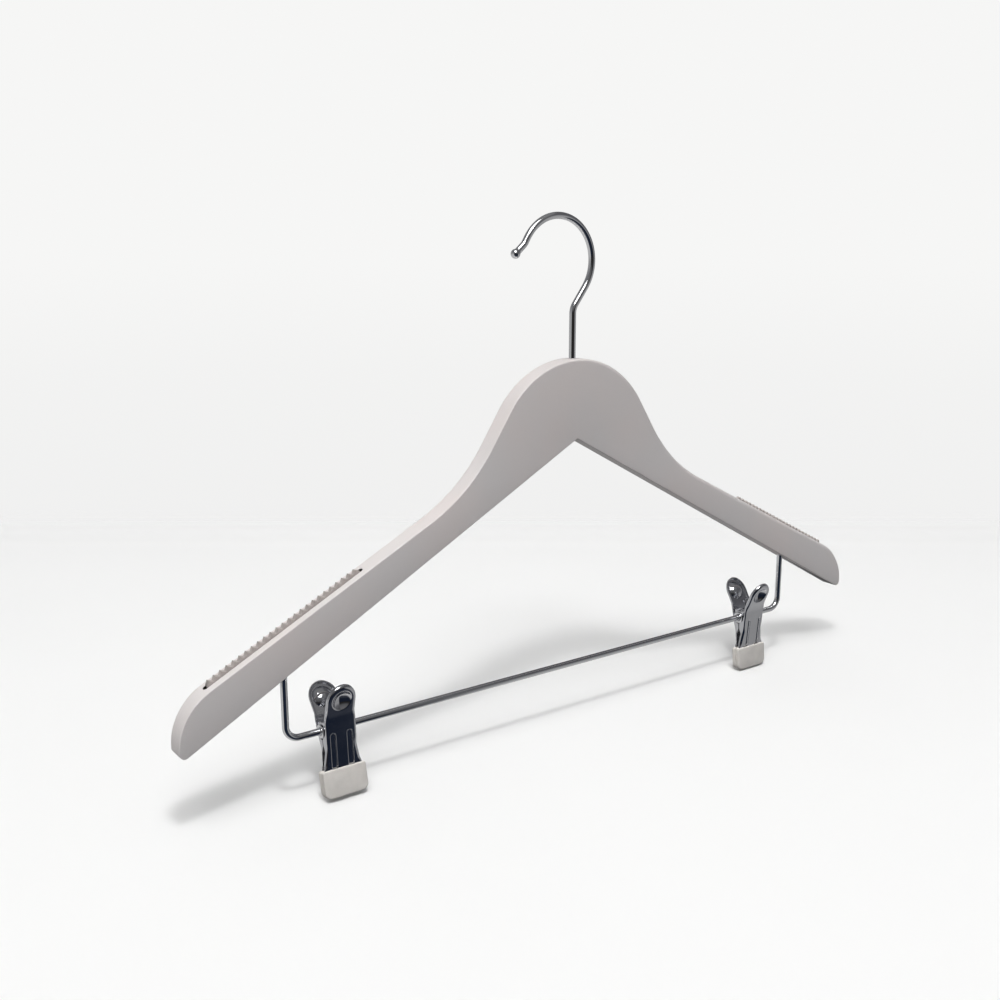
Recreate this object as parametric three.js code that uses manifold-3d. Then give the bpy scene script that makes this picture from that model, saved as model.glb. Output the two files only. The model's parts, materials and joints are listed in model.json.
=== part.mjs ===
// Clip hanger: a painted wooden hanger with a swivel hook, toothed grip strips,
// a wire trouser bar and two sprung steel clips that slide and swing on the bar.
//
// Millimetres, +Z up, X along the arms, Y through the thickness, front at -Y.
// The pieces are laid out from the top of the wooden neck, where the hook's stem enters it.
// The exported group has its origin inside the top of the hook, where it sits on a rail.

import * as THREE from 'three';
import { mergeVertices } from 'three/addons/utils/BufferGeometryUtils.js';
import Module from 'manifold-3d';

const wasm = await Module();
wasm.setup();

const degrees = THREE.MathUtils.degToRad;

// Clearances
const SEAT_GAP = 0.3; // between a piece and the pocket that holds it
const RUNNING_GAP = 0.3; // radial, between a turning piece and its bore

// Wooden arms
const HALF_SPAN = 222.5;
const BODY_THICKNESS = 11;
const EDGE_EASE = 1.2;
const DOME_RADIUS = 52;
const FLANK_ANGLE = degrees(57); // slope of the neck's straight flank
const FLANK_FILLET = 95; // hollow between the flank and the arm's top edge
const TOP_EDGE_DROP = 26.8; // the arm's top edge, carried on to the centre line
const TOP_EDGE_ANGLE = degrees(26.95);
const APEX_DROP = 41.2; // underside at the centre line
const UNDERSIDE_ANGLE = degrees(28.6);
const SHOULDER_RADIUS = 28; // at the arm's end, above
const HEEL_RADIUS = 1.5; // at the arm's end, below

// Grip strips
const TOOTH_COUNT = 25;
const TOOTH_PITCH = 3.5;
const TOOTH_HEIGHT = 1.1;
const TOOTH_VALLEY = 1.0; // lowest point between teeth, above the arm's top edge
const VALLEY_STEPS = 4; // facets of the scallop between two teeth
const VALLEY_POWER = 1.4; // 1 is a plain V, 2 a parabola
const STRIP_WIDTH = 2.7;
const STRIP_SINK = 3.7; // how deep the strip sits in its slot
const STRIP_END_GAP = 2; // slot beyond each end of the strip
const STRIP_MIDDLE_X = 167.2;
const STRIP_SETBACK = 0.6; // behind the middle of the thickness

// Hook
const HOOK_WIRE = 3.5;
const STEM_RISE = 23; // straight stem above the wood
const NECK_BEND_RADIUS = 8;
const NECK_LEAN = degrees(36.7);
const NECK_STRAIGHT = 10.3;
const CROWN_RADIUS = 22.5;
const CROWN_SWEEP = degrees(183.7);
const TAIL_BEND_RADIUS = 14;
const TAIL_FLARE = degrees(10);
const TAIL_STRAIGHT = 8;
const BALL_DIAMETER = 4.8;

// Retainer on the stem's lower end, in a counterbore under the neck
const RETAINER_DIAMETER = 6.4;
const RETAINER_HEIGHT = 8;
const RETAINER_FLOOR = 1;
const COUNTERBORE_DEPTH = 10.5; // up from the apex

// Trouser bar
const BAR_WIRE = 3.4;
const BAR_DROP = 167.2; // axis of the bar below the top of the neck
const LEG_X = 169.4;
const LEG_BEND_RADIUS = 7;
const LEG_INSERT = 10; // leg inside the wood

// Clips: sizes from the axis of the bar
const CLIP_X = 143; // each clip's place along the bar
const LEFT_CLIP_TILT = degrees(13.5); // handles leaning back
const RIGHT_CLIP_TILT = degrees(4.6);
const SHEET = 0.8;
const PLATE_OFFSET = 5; // outer face of the plate from the bar's axis
const LOWER_LEAN = degrees(9.5);
const HANDLE_LEAN = degrees(27.5);
const KNEE_RISE = 5; // where the plate bends out into the handle
const HEAD_TOP = 21.3;
const HEAD_HALF_WIDTH = 7.3;
const EAR_HALF_WIDTH = 8.15;
const EAR_ZONE_TOP = 4.5; // the plate is widest between this and the waist
const HEAD_SHOULDER = 7.5;
const WAIST_DROP = 9; // where the plate starts to flare towards the rubber
const FLARE_HALF_WIDTH = 10;
const FLARE_ROUND = 9;
const PLATE_DROP = 31;
const PLATE_END_HALF_WIDTH = 9.5;
const PLATE_END_ROUND = 1.5;
const RIM_DEPTH = 2;
const RIM_START = 7.2; // height where the handle's rim begins
const DIMPLE_HEIGHT = 13.7;
const DIMPLE_RADIUS = 5.2;
const DIMPLE_DEPTH = 2.7;
const GROOVE_X = 4.45;
const GROOVE_WIDTH = 3.4;
const GROOVE_TOP = -1.2;
const GROOVE_DEPTH = 0.45;
const LUG_RADIUS = 3.75;
const LUG_ROOT_UP = 4.5;
const LUG_ROOT_DOWN = 6.5;
const FLANGE_DROP = 7.3; // the side flanges close the clip down to here
const FLANGE_ROOT = 10.5;

// Rubber boots on the jaws
const BOOT_TOP = 19;
const BOOT_BOTTOM = 32.6;
const BOOT_HALF_WIDTH = 11.5;
const BOOT_THICKNESS = 2.65;
const BOOT_PARTING = 0.15; // each boot's gripping face from the middle plane
const BOOT_BOTTOM_ROUND = 3;
const BOOT_TOP_ROUND = 0.9;
const BOOT_EASE = 0.45;
const PLATE_IN_BOOT = 1.9; // outer face of the plate from the middle plane

// Pivot sleeve and spring
const SLEEVE_DIAMETER = 4.8;
const SLEEVE_FLANGE_DIAMETER = 6.8;
const SLEEVE_FLANGE = 0.5;
const SPRING_WIRE = 0.9;
const SPRING_RADIUS = 3.3;
const SPRING_PITCH = 1.6;
const SPRING_FULL_TURNS = 5;
const SPRING_LEG = 9.5;
const SPRING_LEG_LEAN = degrees(14);
const STEPS_PER_TURN = 8;
const SPRING_SIDES = 5;
const GAP_STEPS_PER_TURN = 48; // for measuring the gap between turns

// Facets of round pieces
const WIRE_SIDES = 12;
const ROUND_SIDES = 16;
const BEND_STEP = degrees(9);
const ARC_STEPS = 3; // half the facets of a small outline's arc
const BODY_ARC_STEPS = 7; // and of the arms' outline
const DIMPLE_SIDES = 18;
const DIMPLE_RINGS = 12;
const BALL_SIDES = 14;
const BALL_RINGS = 10;
const FULL_ROUND = 0.999; // rounding of a full round end, just short of swallowing its straight
const WELD = 1e-4; // corners nearer than this are one corner
const SAME_POINT = 0.06; // points nearer than this are one point
const REACH = 400; // longer than any piece, for cutters

// Solids

function toSolid(geometry) {
  const bare = geometry.clone();
  bare.deleteAttribute('normal');
  bare.deleteAttribute('uv');
  const merged = mergeVertices(bare, WELD);
  const mesh = new wasm.Mesh({
    numProp: 3,
    vertProperties: new Float32Array(merged.attributes.position.array),
    triVerts: new Uint32Array(merged.index.array),
  });
  return new wasm.Manifold(mesh);
}

function toGeometry(solid) {
  const mesh = solid.getMesh();
  const geometry = new THREE.BufferGeometry();
  geometry.setAttribute('position', new THREE.BufferAttribute(mesh.vertProperties, 3));
  geometry.setIndex(new THREE.BufferAttribute(mesh.triVerts, 1));
  geometry.computeVertexNormals();
  return geometry;
}

function box(low, high) {
  const size = high.map((value, axis) => value - low[axis]);
  const geometry = new THREE.BoxGeometry(...size);
  geometry.translate(...low.map((value, axis) => value + size[axis] / 2));
  return toSolid(geometry);
}

// The outline's points, without any that repeat where one stretch ends and the next begins.
function distinctPoints(shape, arcSteps) {
  const points = shape.getPoints(arcSteps);
  return points.filter((point, index) => point.distanceTo(points.at(index - 1)) > SAME_POINT);
}

function extrude(shape, depth, options = {}, arcSteps = ARC_STEPS) {
  const outline = new THREE.Shape(distinctPoints(shape, arcSteps));
  return new THREE.ExtrudeGeometry(outline, { depth, bevelEnabled: false, ...options });
}

// An outline in (x, z), carried through the thickness from one y to another.
function prismAlongY(shape, fromY, toY) {
  const geometry = extrude(shape, toY - fromY);
  geometry.rotateX(Math.PI / 2);
  geometry.translate(0, toY, 0);
  return toSolid(geometry);
}

// An outline in (y, z), carried along the bar from one x to another.
function prismAlongX(shape, fromX, toX) {
  const geometry = extrude(shape, toX - fromX);
  const yAxis = new THREE.Vector3(0, 1, 0);
  const zAxis = new THREE.Vector3(0, 0, 1);
  const xAxis = new THREE.Vector3(1, 0, 0);
  geometry.applyMatrix4(new THREE.Matrix4().makeBasis(yAxis, zAxis, xAxis));
  geometry.translate(fromX, 0, 0);
  return toSolid(geometry);
}

function rodAlongX(radius, fromX, toX, sides = ROUND_SIDES) {
  const geometry = new THREE.CylinderGeometry(radius, radius, toX - fromX, sides);
  geometry.rotateZ(Math.PI / 2);
  geometry.translate((fromX + toX) / 2, 0, 0);
  return toSolid(geometry);
}

function rodAlongZ(radius, x, fromZ, toZ, sides = ROUND_SIDES) {
  const geometry = new THREE.CylinderGeometry(radius, radius, toZ - fromZ, sides);
  geometry.rotateX(Math.PI / 2);
  geometry.translate(x, 0, (fromZ + toZ) / 2);
  return toSolid(geometry);
}

// A many-sided bore is narrowest across its flats, so its corners lie a little further out.
function boreRadius(clearRadius, sides = ROUND_SIDES) {
  return clearRadius / Math.cos(Math.PI / sides);
}

// Outlines

// A closed outline through corners given as [x, y, rounding].
function roundedShape(corners) {
  const shape = new THREE.Shape();
  corners.forEach(([x, y, radius], index) => {
    const corner = new THREE.Vector2(x, y);
    const before = corners.at(index - 1);
    const after = corners[(index + 1) % corners.length];
    const incoming = corner.clone().sub(new THREE.Vector2(before[0], before[1])).normalize();
    const outgoing = new THREE.Vector2(after[0], after[1]).sub(corner).normalize();
    const turn = Math.atan2(incoming.cross(outgoing), incoming.dot(outgoing));
    const setback = radius * Math.tan(Math.abs(turn) / 2);
    const start = corner.clone().addScaledVector(incoming, -setback);
    if (index === 0) {
      shape.moveTo(start.x, start.y);
    } else {
      shape.lineTo(start.x, start.y);
    }
    if (radius > 0) {
      const leftwards = new THREE.Vector2(-incoming.y, incoming.x);
      const centre = start.clone().addScaledVector(leftwards, Math.sign(turn) * radius);
      const startAngle = Math.atan2(start.y - centre.y, start.x - centre.x);
      shape.absarc(centre.x, centre.y, radius, startAngle, startAngle + turn, turn < 0);
    }
  });
  shape.closePath();
  return shape;
}

// The right-hand corners of an outline, followed by their mirror images.
function mirroredShape(rightCorners) {
  const leftCorners = rightCorners
    .filter(([x]) => x !== 0)
    .map(([x, y, radius]) => [-x, y, radius])
    .reverse();
  return roundedShape([...rightCorners, ...leftCorners]);
}

// Wires

// A path known at chosen stations, each with its own tangent.
class StationCurve extends THREE.Curve {
  constructor(stations) {
    super();
    this.stations = stations;
  }

  stationAt(share) {
    return this.stations[Math.round(share * (this.stations.length - 1))];
  }

  getPoint(share, target = new THREE.Vector3()) {
    return target.copy(this.stationAt(share).point);
  }

  getPointAt(share, target) {
    return this.getPoint(share, target);
  }

  getTangentAt(share, target = new THREE.Vector3()) {
    return target.copy(this.stationAt(share).tangent);
  }
}

// A wire bent in the plane of the arms, step by step, as on a bending bench.
class BentWire {
  constructor(x, z, heading) {
    this.x = x;
    this.z = z;
    this.heading = heading;
    this.stations = [];
    this.mark();
  }

  mark() {
    const point = new THREE.Vector3(this.x, 0, this.z);
    const tangent = new THREE.Vector3(Math.cos(this.heading), 0, Math.sin(this.heading));
    this.stations.push({ point, tangent });
  }

  straight(length) {
    this.x += length * Math.cos(this.heading);
    this.z += length * Math.sin(this.heading);
    this.mark();
    return this;
  }

  // Left turns are positive.
  bend(angle, radius) {
    const steps = Math.max(2, Math.ceil(Math.abs(angle) / BEND_STEP));
    const side = Math.sign(angle);
    const centreX = this.x - side * radius * Math.sin(this.heading);
    const centreZ = this.z + side * radius * Math.cos(this.heading);
    for (let step = 0; step < steps; step += 1) {
      this.heading += angle / steps;
      this.x = centreX + side * radius * Math.sin(this.heading);
      this.z = centreZ - side * radius * Math.cos(this.heading);
      this.mark();
    }
    return this;
  }
}

function wireGeometry(stations, diameter, sides) {
  const section = new THREE.Shape();
  for (let side = 0; side < sides; side += 1) {
    const angle = (side / sides) * 2 * Math.PI;
    const x = (diameter / 2) * Math.cos(angle);
    const y = (diameter / 2) * Math.sin(angle);
    if (side === 0) {
      section.moveTo(x, y);
    } else {
      section.lineTo(x, y);
    }
  }
  section.closePath();
  return new THREE.ExtrudeGeometry(section, {
    steps: stations.length - 1,
    bevelEnabled: false,
    extrudePath: new StationCurve(stations),
  });
}

// Materials

function finish(color, roughness, metalness) {
  return new THREE.MeshStandardMaterial({ color, roughness, metalness });
}

const PAINTED_WOOD = finish(0xb4b0b0, 0.5, 0);
const GRIP_RUBBER = finish(0xa59b9b, 0.8, 0);
const BOOT_RUBBER = finish(0xb9b6b0, 0.7, 0);
const CHROME = finish(0xc8cacc, 0.08, 1);
const CLIP_CHROME = finish(0xa6a8ac, 0.1, 1);
const SPRING_STEEL = finish(0x8c8e92, 0.3, 1);

function named(name, geometry, material) {
  const mesh = new THREE.Mesh(geometry, material);
  mesh.name = name;
  return mesh;
}

// Wooden arms

function topEdgeZ(x) {
  return -TOP_EDGE_DROP - Math.abs(x) * Math.tan(TOP_EDGE_ANGLE);
}

function undersideZ(x) {
  return -APEX_DROP - Math.abs(x) * Math.tan(UNDERSIDE_ANGLE);
}

function bodyOutline() {
  // The two flanks, carried up, meet above the dome that rounds them off.
  const flanksMeetZ = DOME_RADIUS / Math.cos(FLANK_ANGLE) - DOME_RADIUS;
  const slopeChange = Math.tan(FLANK_ANGLE) - Math.tan(TOP_EDGE_ANGLE);
  const hollowX = (flanksMeetZ + TOP_EDGE_DROP) / slopeChange;
  return mirroredShape([
    [0, flanksMeetZ, DOME_RADIUS],
    [hollowX, topEdgeZ(hollowX), FLANK_FILLET],
    [HALF_SPAN, topEdgeZ(HALF_SPAN), SHOULDER_RADIUS],
    [HALF_SPAN, undersideZ(HALF_SPAN), HEEL_RADIUS],
    [0, -APEX_DROP, 0],
  ]);
}

function bodyBlank() {
  const geometry = extrude(bodyOutline(), BODY_THICKNESS - 2 * EDGE_EASE, {
    bevelEnabled: true,
    bevelThickness: EDGE_EASE,
    bevelSize: EDGE_EASE,
    bevelOffset: -EDGE_EASE,
    bevelSegments: 2,
  }, BODY_ARC_STEPS);
  geometry.rotateX(Math.PI / 2);
  geometry.translate(0, BODY_THICKNESS / 2 - EDGE_EASE, 0);
  return toSolid(geometry);
}

const stripLength = TOOTH_COUNT * TOOTH_PITCH;
const slotWidth = STRIP_WIDTH + 2 * SEAT_GAP;
const slotLength = stripLength + 2 * STRIP_END_GAP;
const slotDepth = STRIP_SINK + SEAT_GAP;

// Where a grip strip sits: middle of the slot on the arm's top edge, turned along the arm.
function stripPlace(side) {
  const place = new THREE.Object3D();
  place.position.set(side * STRIP_MIDDLE_X, STRIP_SETBACK, topEdgeZ(STRIP_MIDDLE_X));
  place.rotation.y = side * TOP_EDGE_ANGLE;
  place.updateMatrix();
  return place;
}

function slotCutter(side) {
  const half = slotLength / 2;
  const edge = slotWidth / 2;
  const round = edge * FULL_ROUND;
  const outline = roundedShape([
    [-half, -edge, round],
    [half, -edge, round],
    [half, edge, round],
    [-half, edge, round],
  ]);
  const geometry = extrude(outline, slotDepth + TOOTH_HEIGHT);
  geometry.translate(0, 0, -slotDepth);
  geometry.applyMatrix4(stripPlace(side).matrix);
  return toSolid(geometry);
}

const legTopZ = undersideZ(LEG_X) + LEG_INSERT;
const counterboreTopZ = -APEX_DROP + COUNTERBORE_DEPTH;

function armGeometry(side) {
  const near = side > 0 ? 0 : -REACH;
  const half = box([near, -REACH, -REACH], [near + REACH, REACH, REACH]);
  const stemRadius = boreRadius(HOOK_WIRE / 2 + RUNNING_GAP);
  const stemBore = rodAlongZ(stemRadius, 0, -APEX_DROP, REACH);
  const counterboreRadius = boreRadius(RETAINER_DIAMETER / 2 + RUNNING_GAP);
  const counterbore = rodAlongZ(counterboreRadius, 0, -REACH, counterboreTopZ);
  const legRadius = boreRadius(BAR_WIRE / 2 + SEAT_GAP);
  const legBore = rodAlongZ(legRadius, side * LEG_X, -REACH, legTopZ + SEAT_GAP);
  const arm = bodyBlank()
    .intersect(half)
    .subtract(stemBore)
    .subtract(counterbore)
    .subtract(legBore)
    .subtract(slotCutter(side));
  return toGeometry(arm);
}

// Grip strips

function stripGeometry() {
  const half = stripLength / 2;
  const outline = new THREE.Shape();
  outline.moveTo(-half, -STRIP_SINK);
  outline.lineTo(half, -STRIP_SINK);
  outline.lineTo(half, TOOTH_VALLEY);
  for (let tooth = 0; tooth < TOOTH_COUNT; tooth += 1) {
    const middle = half - (tooth + 0.5) * TOOTH_PITCH;
    // From the tip down into the next scallop, which is a shallow round.
    outline.lineTo(middle, TOOTH_VALLEY + TOOTH_HEIGHT);
    if (tooth < TOOTH_COUNT - 1) {
      for (let step = 1; step < VALLEY_STEPS; step += 1) {
        const across = step / VALLEY_STEPS;
        const rise = Math.abs(2 * across - 1) ** VALLEY_POWER;
        outline.lineTo(middle - across * TOOTH_PITCH, TOOTH_VALLEY + TOOTH_HEIGHT * rise);
      }
    }
  }
  outline.lineTo(-half, TOOTH_VALLEY);
  outline.closePath();
  return toGeometry(prismAlongY(outline, -STRIP_WIDTH / 2, STRIP_WIDTH / 2));
}

function gripStrip(name, side) {
  const strip = named(name, stripGeometry(), GRIP_RUBBER);
  const place = stripPlace(side);
  strip.position.copy(place.position);
  strip.rotation.copy(place.rotation);
  return strip;
}

// Hook

const retainerTopZ = counterboreTopZ - SEAT_GAP;
const stemEndZ = retainerTopZ - RETAINER_HEIGHT + RETAINER_FLOOR + SEAT_GAP;

function hookWire() {
  return new BentWire(0, stemEndZ, Math.PI / 2)
    .straight(STEM_RISE - stemEndZ)
    .bend(-NECK_LEAN, NECK_BEND_RADIUS)
    .straight(NECK_STRAIGHT)
    .bend(CROWN_SWEEP, CROWN_RADIUS)
    .bend(-TAIL_FLARE, TAIL_BEND_RADIUS)
    .straight(TAIL_STRAIGHT);
}

// Middle of the crown's arc, reached from the stem by way of the bent neck.
function crownCentre() {
  const start = new BentWire(0, STEM_RISE, Math.PI / 2)
    .bend(-NECK_LEAN, NECK_BEND_RADIUS)
    .straight(NECK_STRAIGHT);
  return {
    x: start.x - CROWN_RADIUS * Math.sin(start.heading),
    z: start.z + CROWN_RADIUS * Math.cos(start.heading),
  };
}

function hookGeometry() {
  const wire = hookWire();
  const ball = new THREE.SphereGeometry(BALL_DIAMETER / 2, BALL_SIDES, BALL_RINGS);
  ball.translate(wire.x, 0, wire.z);
  const rod = wireGeometry(wire.stations, HOOK_WIRE, WIRE_SIDES);
  return toGeometry(toSolid(rod).add(toSolid(ball)));
}

function retainerGeometry() {
  const bottomZ = retainerTopZ - RETAINER_HEIGHT;
  const cap = rodAlongZ(RETAINER_DIAMETER / 2, 0, bottomZ, retainerTopZ);
  const socketRadius = boreRadius(HOOK_WIRE / 2 + SEAT_GAP);
  const socket = rodAlongZ(socketRadius, 0, bottomZ + RETAINER_FLOOR, REACH);
  return toGeometry(cap.subtract(socket));
}

// Trouser bar

function barGeometry() {
  const wire = new BentWire(-LEG_X, legTopZ, -Math.PI / 2)
    .straight(legTopZ + BAR_DROP - LEG_BEND_RADIUS)
    .bend(Math.PI / 2, LEG_BEND_RADIUS)
    .straight(2 * (LEG_X - LEG_BEND_RADIUS))
    .bend(Math.PI / 2, LEG_BEND_RADIUS)
    .straight(legTopZ + BAR_DROP - LEG_BEND_RADIUS);
  return wireGeometry(wire.stations, BAR_WIRE, WIRE_SIDES);
}

// Clip jaws, drawn for the front jaw: its plate stands at -Y of the bar

// Outer face of the plate in (y, z), from its lower end to above the head.
function plateFace() {
  const handle = new THREE.Vector2(-Math.sin(HANDLE_LEAN), Math.cos(HANDLE_LEAN));
  const lower = new THREE.Vector2(-Math.sin(LOWER_LEAN), Math.cos(LOWER_LEAN));
  // The lower part passes PLATE_OFFSET from the bar's axis, from the ankle in the boot to the knee.
  const nearest = new THREE.Vector2(-lower.y, lower.x).multiplyScalar(PLATE_OFFSET);
  const knee = nearest.clone().addScaledVector(lower, (KNEE_RISE - nearest.y) / lower.y);
  const ankle = nearest.clone().addScaledVector(lower, -(nearest.x + PLATE_IN_BOOT) / lower.x);
  const top = knee.clone().addScaledVector(handle, (HEAD_TOP + RIM_DEPTH - knee.y) / handle.y);
  return [new THREE.Vector2(-PLATE_IN_BOOT, -PLATE_DROP - RIM_DEPTH), ankle, knee, top];
}

// The same line moved inwards, towards the other jaw.
function plateLine(inwards) {
  const face = plateFace();
  return face.map((point, index) => {
    const before = face[Math.max(index - 1, 0)];
    const after = face[Math.min(index + 1, face.length - 1)];
    const first = index === 0 ? after.clone().sub(point) : point.clone().sub(before);
    const second = index === face.length - 1 ? first.clone() : after.clone().sub(point);
    const mean = first.normalize().add(second.normalize()).normalize();
    const mitre = inwards / mean.dot(second);
    return point.clone().add(new THREE.Vector2(mean.y, -mean.x).multiplyScalar(mitre));
  });
}

function plateY(z, inwards) {
  const line = plateLine(inwards);
  const upper = line.findIndex((point, index) => index > 0 && point.y >= z);
  const from = line[upper - 1];
  const to = line[upper];
  return from.x + ((z - from.y) / (to.y - from.y)) * (to.x - from.x);
}

// Everything between two depths measured inwards from the plate's outer face.
function plateLayer(fromDepth, toDepth) {
  const points = [...plateLine(toDepth), ...plateLine(fromDepth).reverse()];
  return prismAlongX(new THREE.Shape(points), -REACH, REACH);
}

function plateOutline(inset) {
  const head = HEAD_HALF_WIDTH - inset;
  const ear = EAR_HALF_WIDTH - inset;
  return mirroredShape([
    [head, HEAD_TOP - inset, head * FULL_ROUND],
    [head, HEAD_SHOULDER, 0],
    [ear, EAR_ZONE_TOP, 0],
    [ear, -WAIST_DROP, FLARE_ROUND],
    [FLARE_HALF_WIDTH - inset, -BOOT_TOP, 0],
    [PLATE_END_HALF_WIDTH - inset, -PLATE_DROP + inset, PLATE_END_ROUND],
  ]);
}

function outlineBlock(inset) {
  return prismAlongY(plateOutline(inset), -REACH, REACH);
}

function handleRim() {
  const above = box([-REACH, -REACH, RIM_START], [REACH, REACH, REACH]);
  return outlineBlock(0)
    .subtract(outlineBlock(SHEET))
    .intersect(plateLayer(0, RIM_DEPTH))
    .intersect(above);
}

const dimpleCurve = (DIMPLE_RADIUS ** 2 + DIMPLE_DEPTH ** 2) / (2 * DIMPLE_DEPTH);

function dimpleSphere(radius) {
  const sphere = new THREE.SphereGeometry(radius, DIMPLE_SIDES, DIMPLE_RINGS);
  const outwards = dimpleCurve - DIMPLE_DEPTH;
  const y = plateY(DIMPLE_HEIGHT, 0) - outwards * Math.cos(HANDLE_LEAN);
  const z = DIMPLE_HEIGHT - outwards * Math.sin(HANDLE_LEAN);
  sphere.translate(0, y, z);
  return toSolid(sphere);
}

function groove(side) {
  const half = GROOVE_WIDTH / 2;
  const x = side * GROOVE_X;
  const outline = roundedShape([
    [x - half, -PLATE_DROP - RIM_DEPTH, 0],
    [x + half, -PLATE_DROP - RIM_DEPTH, 0],
    [x + half, GROOVE_TOP, half * FULL_ROUND],
    [x - half, GROOVE_TOP, half * FULL_ROUND],
  ]);
  return prismAlongY(outline, -REACH, REACH).intersect(plateLayer(-SHEET, GROOVE_DEPTH));
}

// Ears that carry the jaw on the sleeve: one flush with the plate's edge,
// one set in beside the other jaw's.
function lug(fromX, toX) {
  const shape = new THREE.Shape();
  shape.moveTo(plateY(-LUG_ROOT_DOWN, SHEET / 2), -LUG_ROOT_DOWN);
  shape.lineTo(0, -LUG_RADIUS);
  shape.absarc(0, 0, LUG_RADIUS, -Math.PI / 2, Math.PI / 2, false);
  shape.lineTo(plateY(LUG_ROOT_UP, SHEET / 2), LUG_ROOT_UP);
  shape.closePath();
  return prismAlongX(shape, fromX, toX);
}

// Side flange below the bar, clear of the other jaw's ear.
function sideFlange(fromX, toX) {
  const shape = new THREE.Shape();
  shape.moveTo(plateY(-LUG_RADIUS, SHEET / 2), -LUG_RADIUS);
  shape.lineTo(plateY(-FLANGE_ROOT, SHEET / 2), -FLANGE_ROOT);
  shape.lineTo(-SEAT_GAP, -FLANGE_DROP);
  shape.lineTo(-SEAT_GAP, -LUG_RADIUS);
  shape.closePath();
  const clear = rodAlongX(boreRadius(LUG_RADIUS + RUNNING_GAP), -REACH, REACH);
  return prismAlongX(shape, fromX, toX).subtract(clear);
}

const innerEarOuterX = EAR_HALF_WIDTH - SHEET - SEAT_GAP;

function jawGeometry() {
  const plate = outlineBlock(0).intersect(plateLayer(0, SHEET));
  const behindPlate = plateLayer(SHEET / 2, RIM_DEPTH + DIMPLE_DEPTH);
  const bump = dimpleSphere(dimpleCurve + SHEET).intersect(behindPlate);
  const outerEdge = [EAR_HALF_WIDTH - SHEET, EAR_HALF_WIDTH];
  const pivotHole = rodAlongX(boreRadius(SLEEVE_DIAMETER / 2 + RUNNING_GAP), -REACH, REACH);
  const jaw = plate
    .add(handleRim())
    .add(bump)
    .add(lug(-outerEdge[1], -outerEdge[0]))
    .add(lug(innerEarOuterX - SHEET, innerEarOuterX))
    .add(sideFlange(-outerEdge[1], -outerEdge[0]))
    .add(sideFlange(...outerEdge))
    .subtract(dimpleSphere(dimpleCurve))
    .subtract(groove(-1))
    .subtract(groove(1))
    .subtract(pivotHole);
  return toGeometry(jaw);
}

// Rubber boots

function bootGeometry() {
  const outline = mirroredShape([
    [BOOT_HALF_WIDTH, -BOOT_TOP, BOOT_TOP_ROUND],
    [BOOT_HALF_WIDTH, -BOOT_BOTTOM, BOOT_BOTTOM_ROUND],
  ]);
  const geometry = extrude(outline, BOOT_THICKNESS - 2 * BOOT_EASE, {
    bevelEnabled: true,
    bevelThickness: BOOT_EASE,
    bevelSize: BOOT_EASE,
    bevelOffset: -BOOT_EASE,
    bevelSegments: 1,
  });
  geometry.rotateX(Math.PI / 2);
  geometry.translate(0, -BOOT_PARTING - BOOT_EASE, 0);
  const pocketHalfWidth = FLARE_HALF_WIDTH + SEAT_GAP;
  const pocket = box(
    [-pocketHalfWidth, -PLATE_IN_BOOT - SEAT_GAP, -PLATE_DROP - SEAT_GAP],
    [pocketHalfWidth, -PLATE_IN_BOOT + SHEET + SEAT_GAP, REACH],
  );
  return toGeometry(toSolid(geometry).subtract(pocket));
}

// Pivot sleeve and spring

function sleeveGeometry() {
  const flangeX = EAR_HALF_WIDTH + SEAT_GAP;
  const endX = flangeX + SLEEVE_FLANGE;
  const tube = rodAlongX(SLEEVE_DIAMETER / 2, -endX, endX);
  const flanges = [-1, 1].map((side) => {
    const [low, high] = [side * flangeX, side * endX].sort((a, b) => a - b);
    return rodAlongX(SLEEVE_FLANGE_DIAMETER / 2, low, high);
  });
  const bore = rodAlongX(boreRadius(BAR_WIRE / 2 + RUNNING_GAP / 2), -REACH, REACH);
  return toGeometry(tube.add(flanges[0]).add(flanges[1]).subtract(bore));
}

// Spring: a leg down the front handle, the coil round the sleeve, a leg up the back handle.
const coilStart = Math.PI + SPRING_LEG_LEAN;
const coilTurn = Math.PI - 2 * SPRING_LEG_LEAN + SPRING_FULL_TURNS * 2 * Math.PI;
const coilLength = (coilTurn / (2 * Math.PI)) * SPRING_PITCH;

function coilStation(share) {
  const angle = coilStart + share * coilTurn;
  const rise = SPRING_PITCH / (2 * Math.PI * SPRING_RADIUS);
  return {
    point: new THREE.Vector3(
      (share - 0.5) * coilLength,
      SPRING_RADIUS * Math.cos(angle),
      SPRING_RADIUS * Math.sin(angle),
    ),
    tangent: new THREE.Vector3(rise, -Math.sin(angle), Math.cos(angle)).normalize(),
  };
}

function legStation(share, length) {
  const root = coilStation(share);
  const along = root.tangent.clone().setX(0).normalize();
  return { point: root.point.clone().addScaledVector(along, length), tangent: along };
}

function springStations() {
  const steps = Math.round((coilTurn / (2 * Math.PI)) * STEPS_PER_TURN);
  const coil = Array.from({ length: steps + 1 }, (_, step) => coilStation(step / steps));
  return [
    legStation(0, -SPRING_LEG),
    legStation(0, -SPRING_WIRE),
    ...coil,
    legStation(1, SPRING_WIRE),
    legStation(1, SPRING_LEG),
  ];
}

// Least gap between turns, on points of the coil that lie more than half a turn apart.
function springGap() {
  const count = Math.round((coilTurn / (2 * Math.PI)) * GAP_STEPS_PER_TURN);
  const points = Array.from({ length: count + 1 }, (_, step) => coilStation(step / count).point);
  let least = Infinity;
  points.forEach((point, index) => {
    points.slice(index + GAP_STEPS_PER_TURN / 2).forEach((other) => {
      least = Math.min(least, point.distanceTo(other));
    });
  });
  return least - SPRING_WIRE;
}

console.log(`least gap between the spring's turns: ${springGap().toFixed(2)} mm`);

// Assembly

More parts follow.
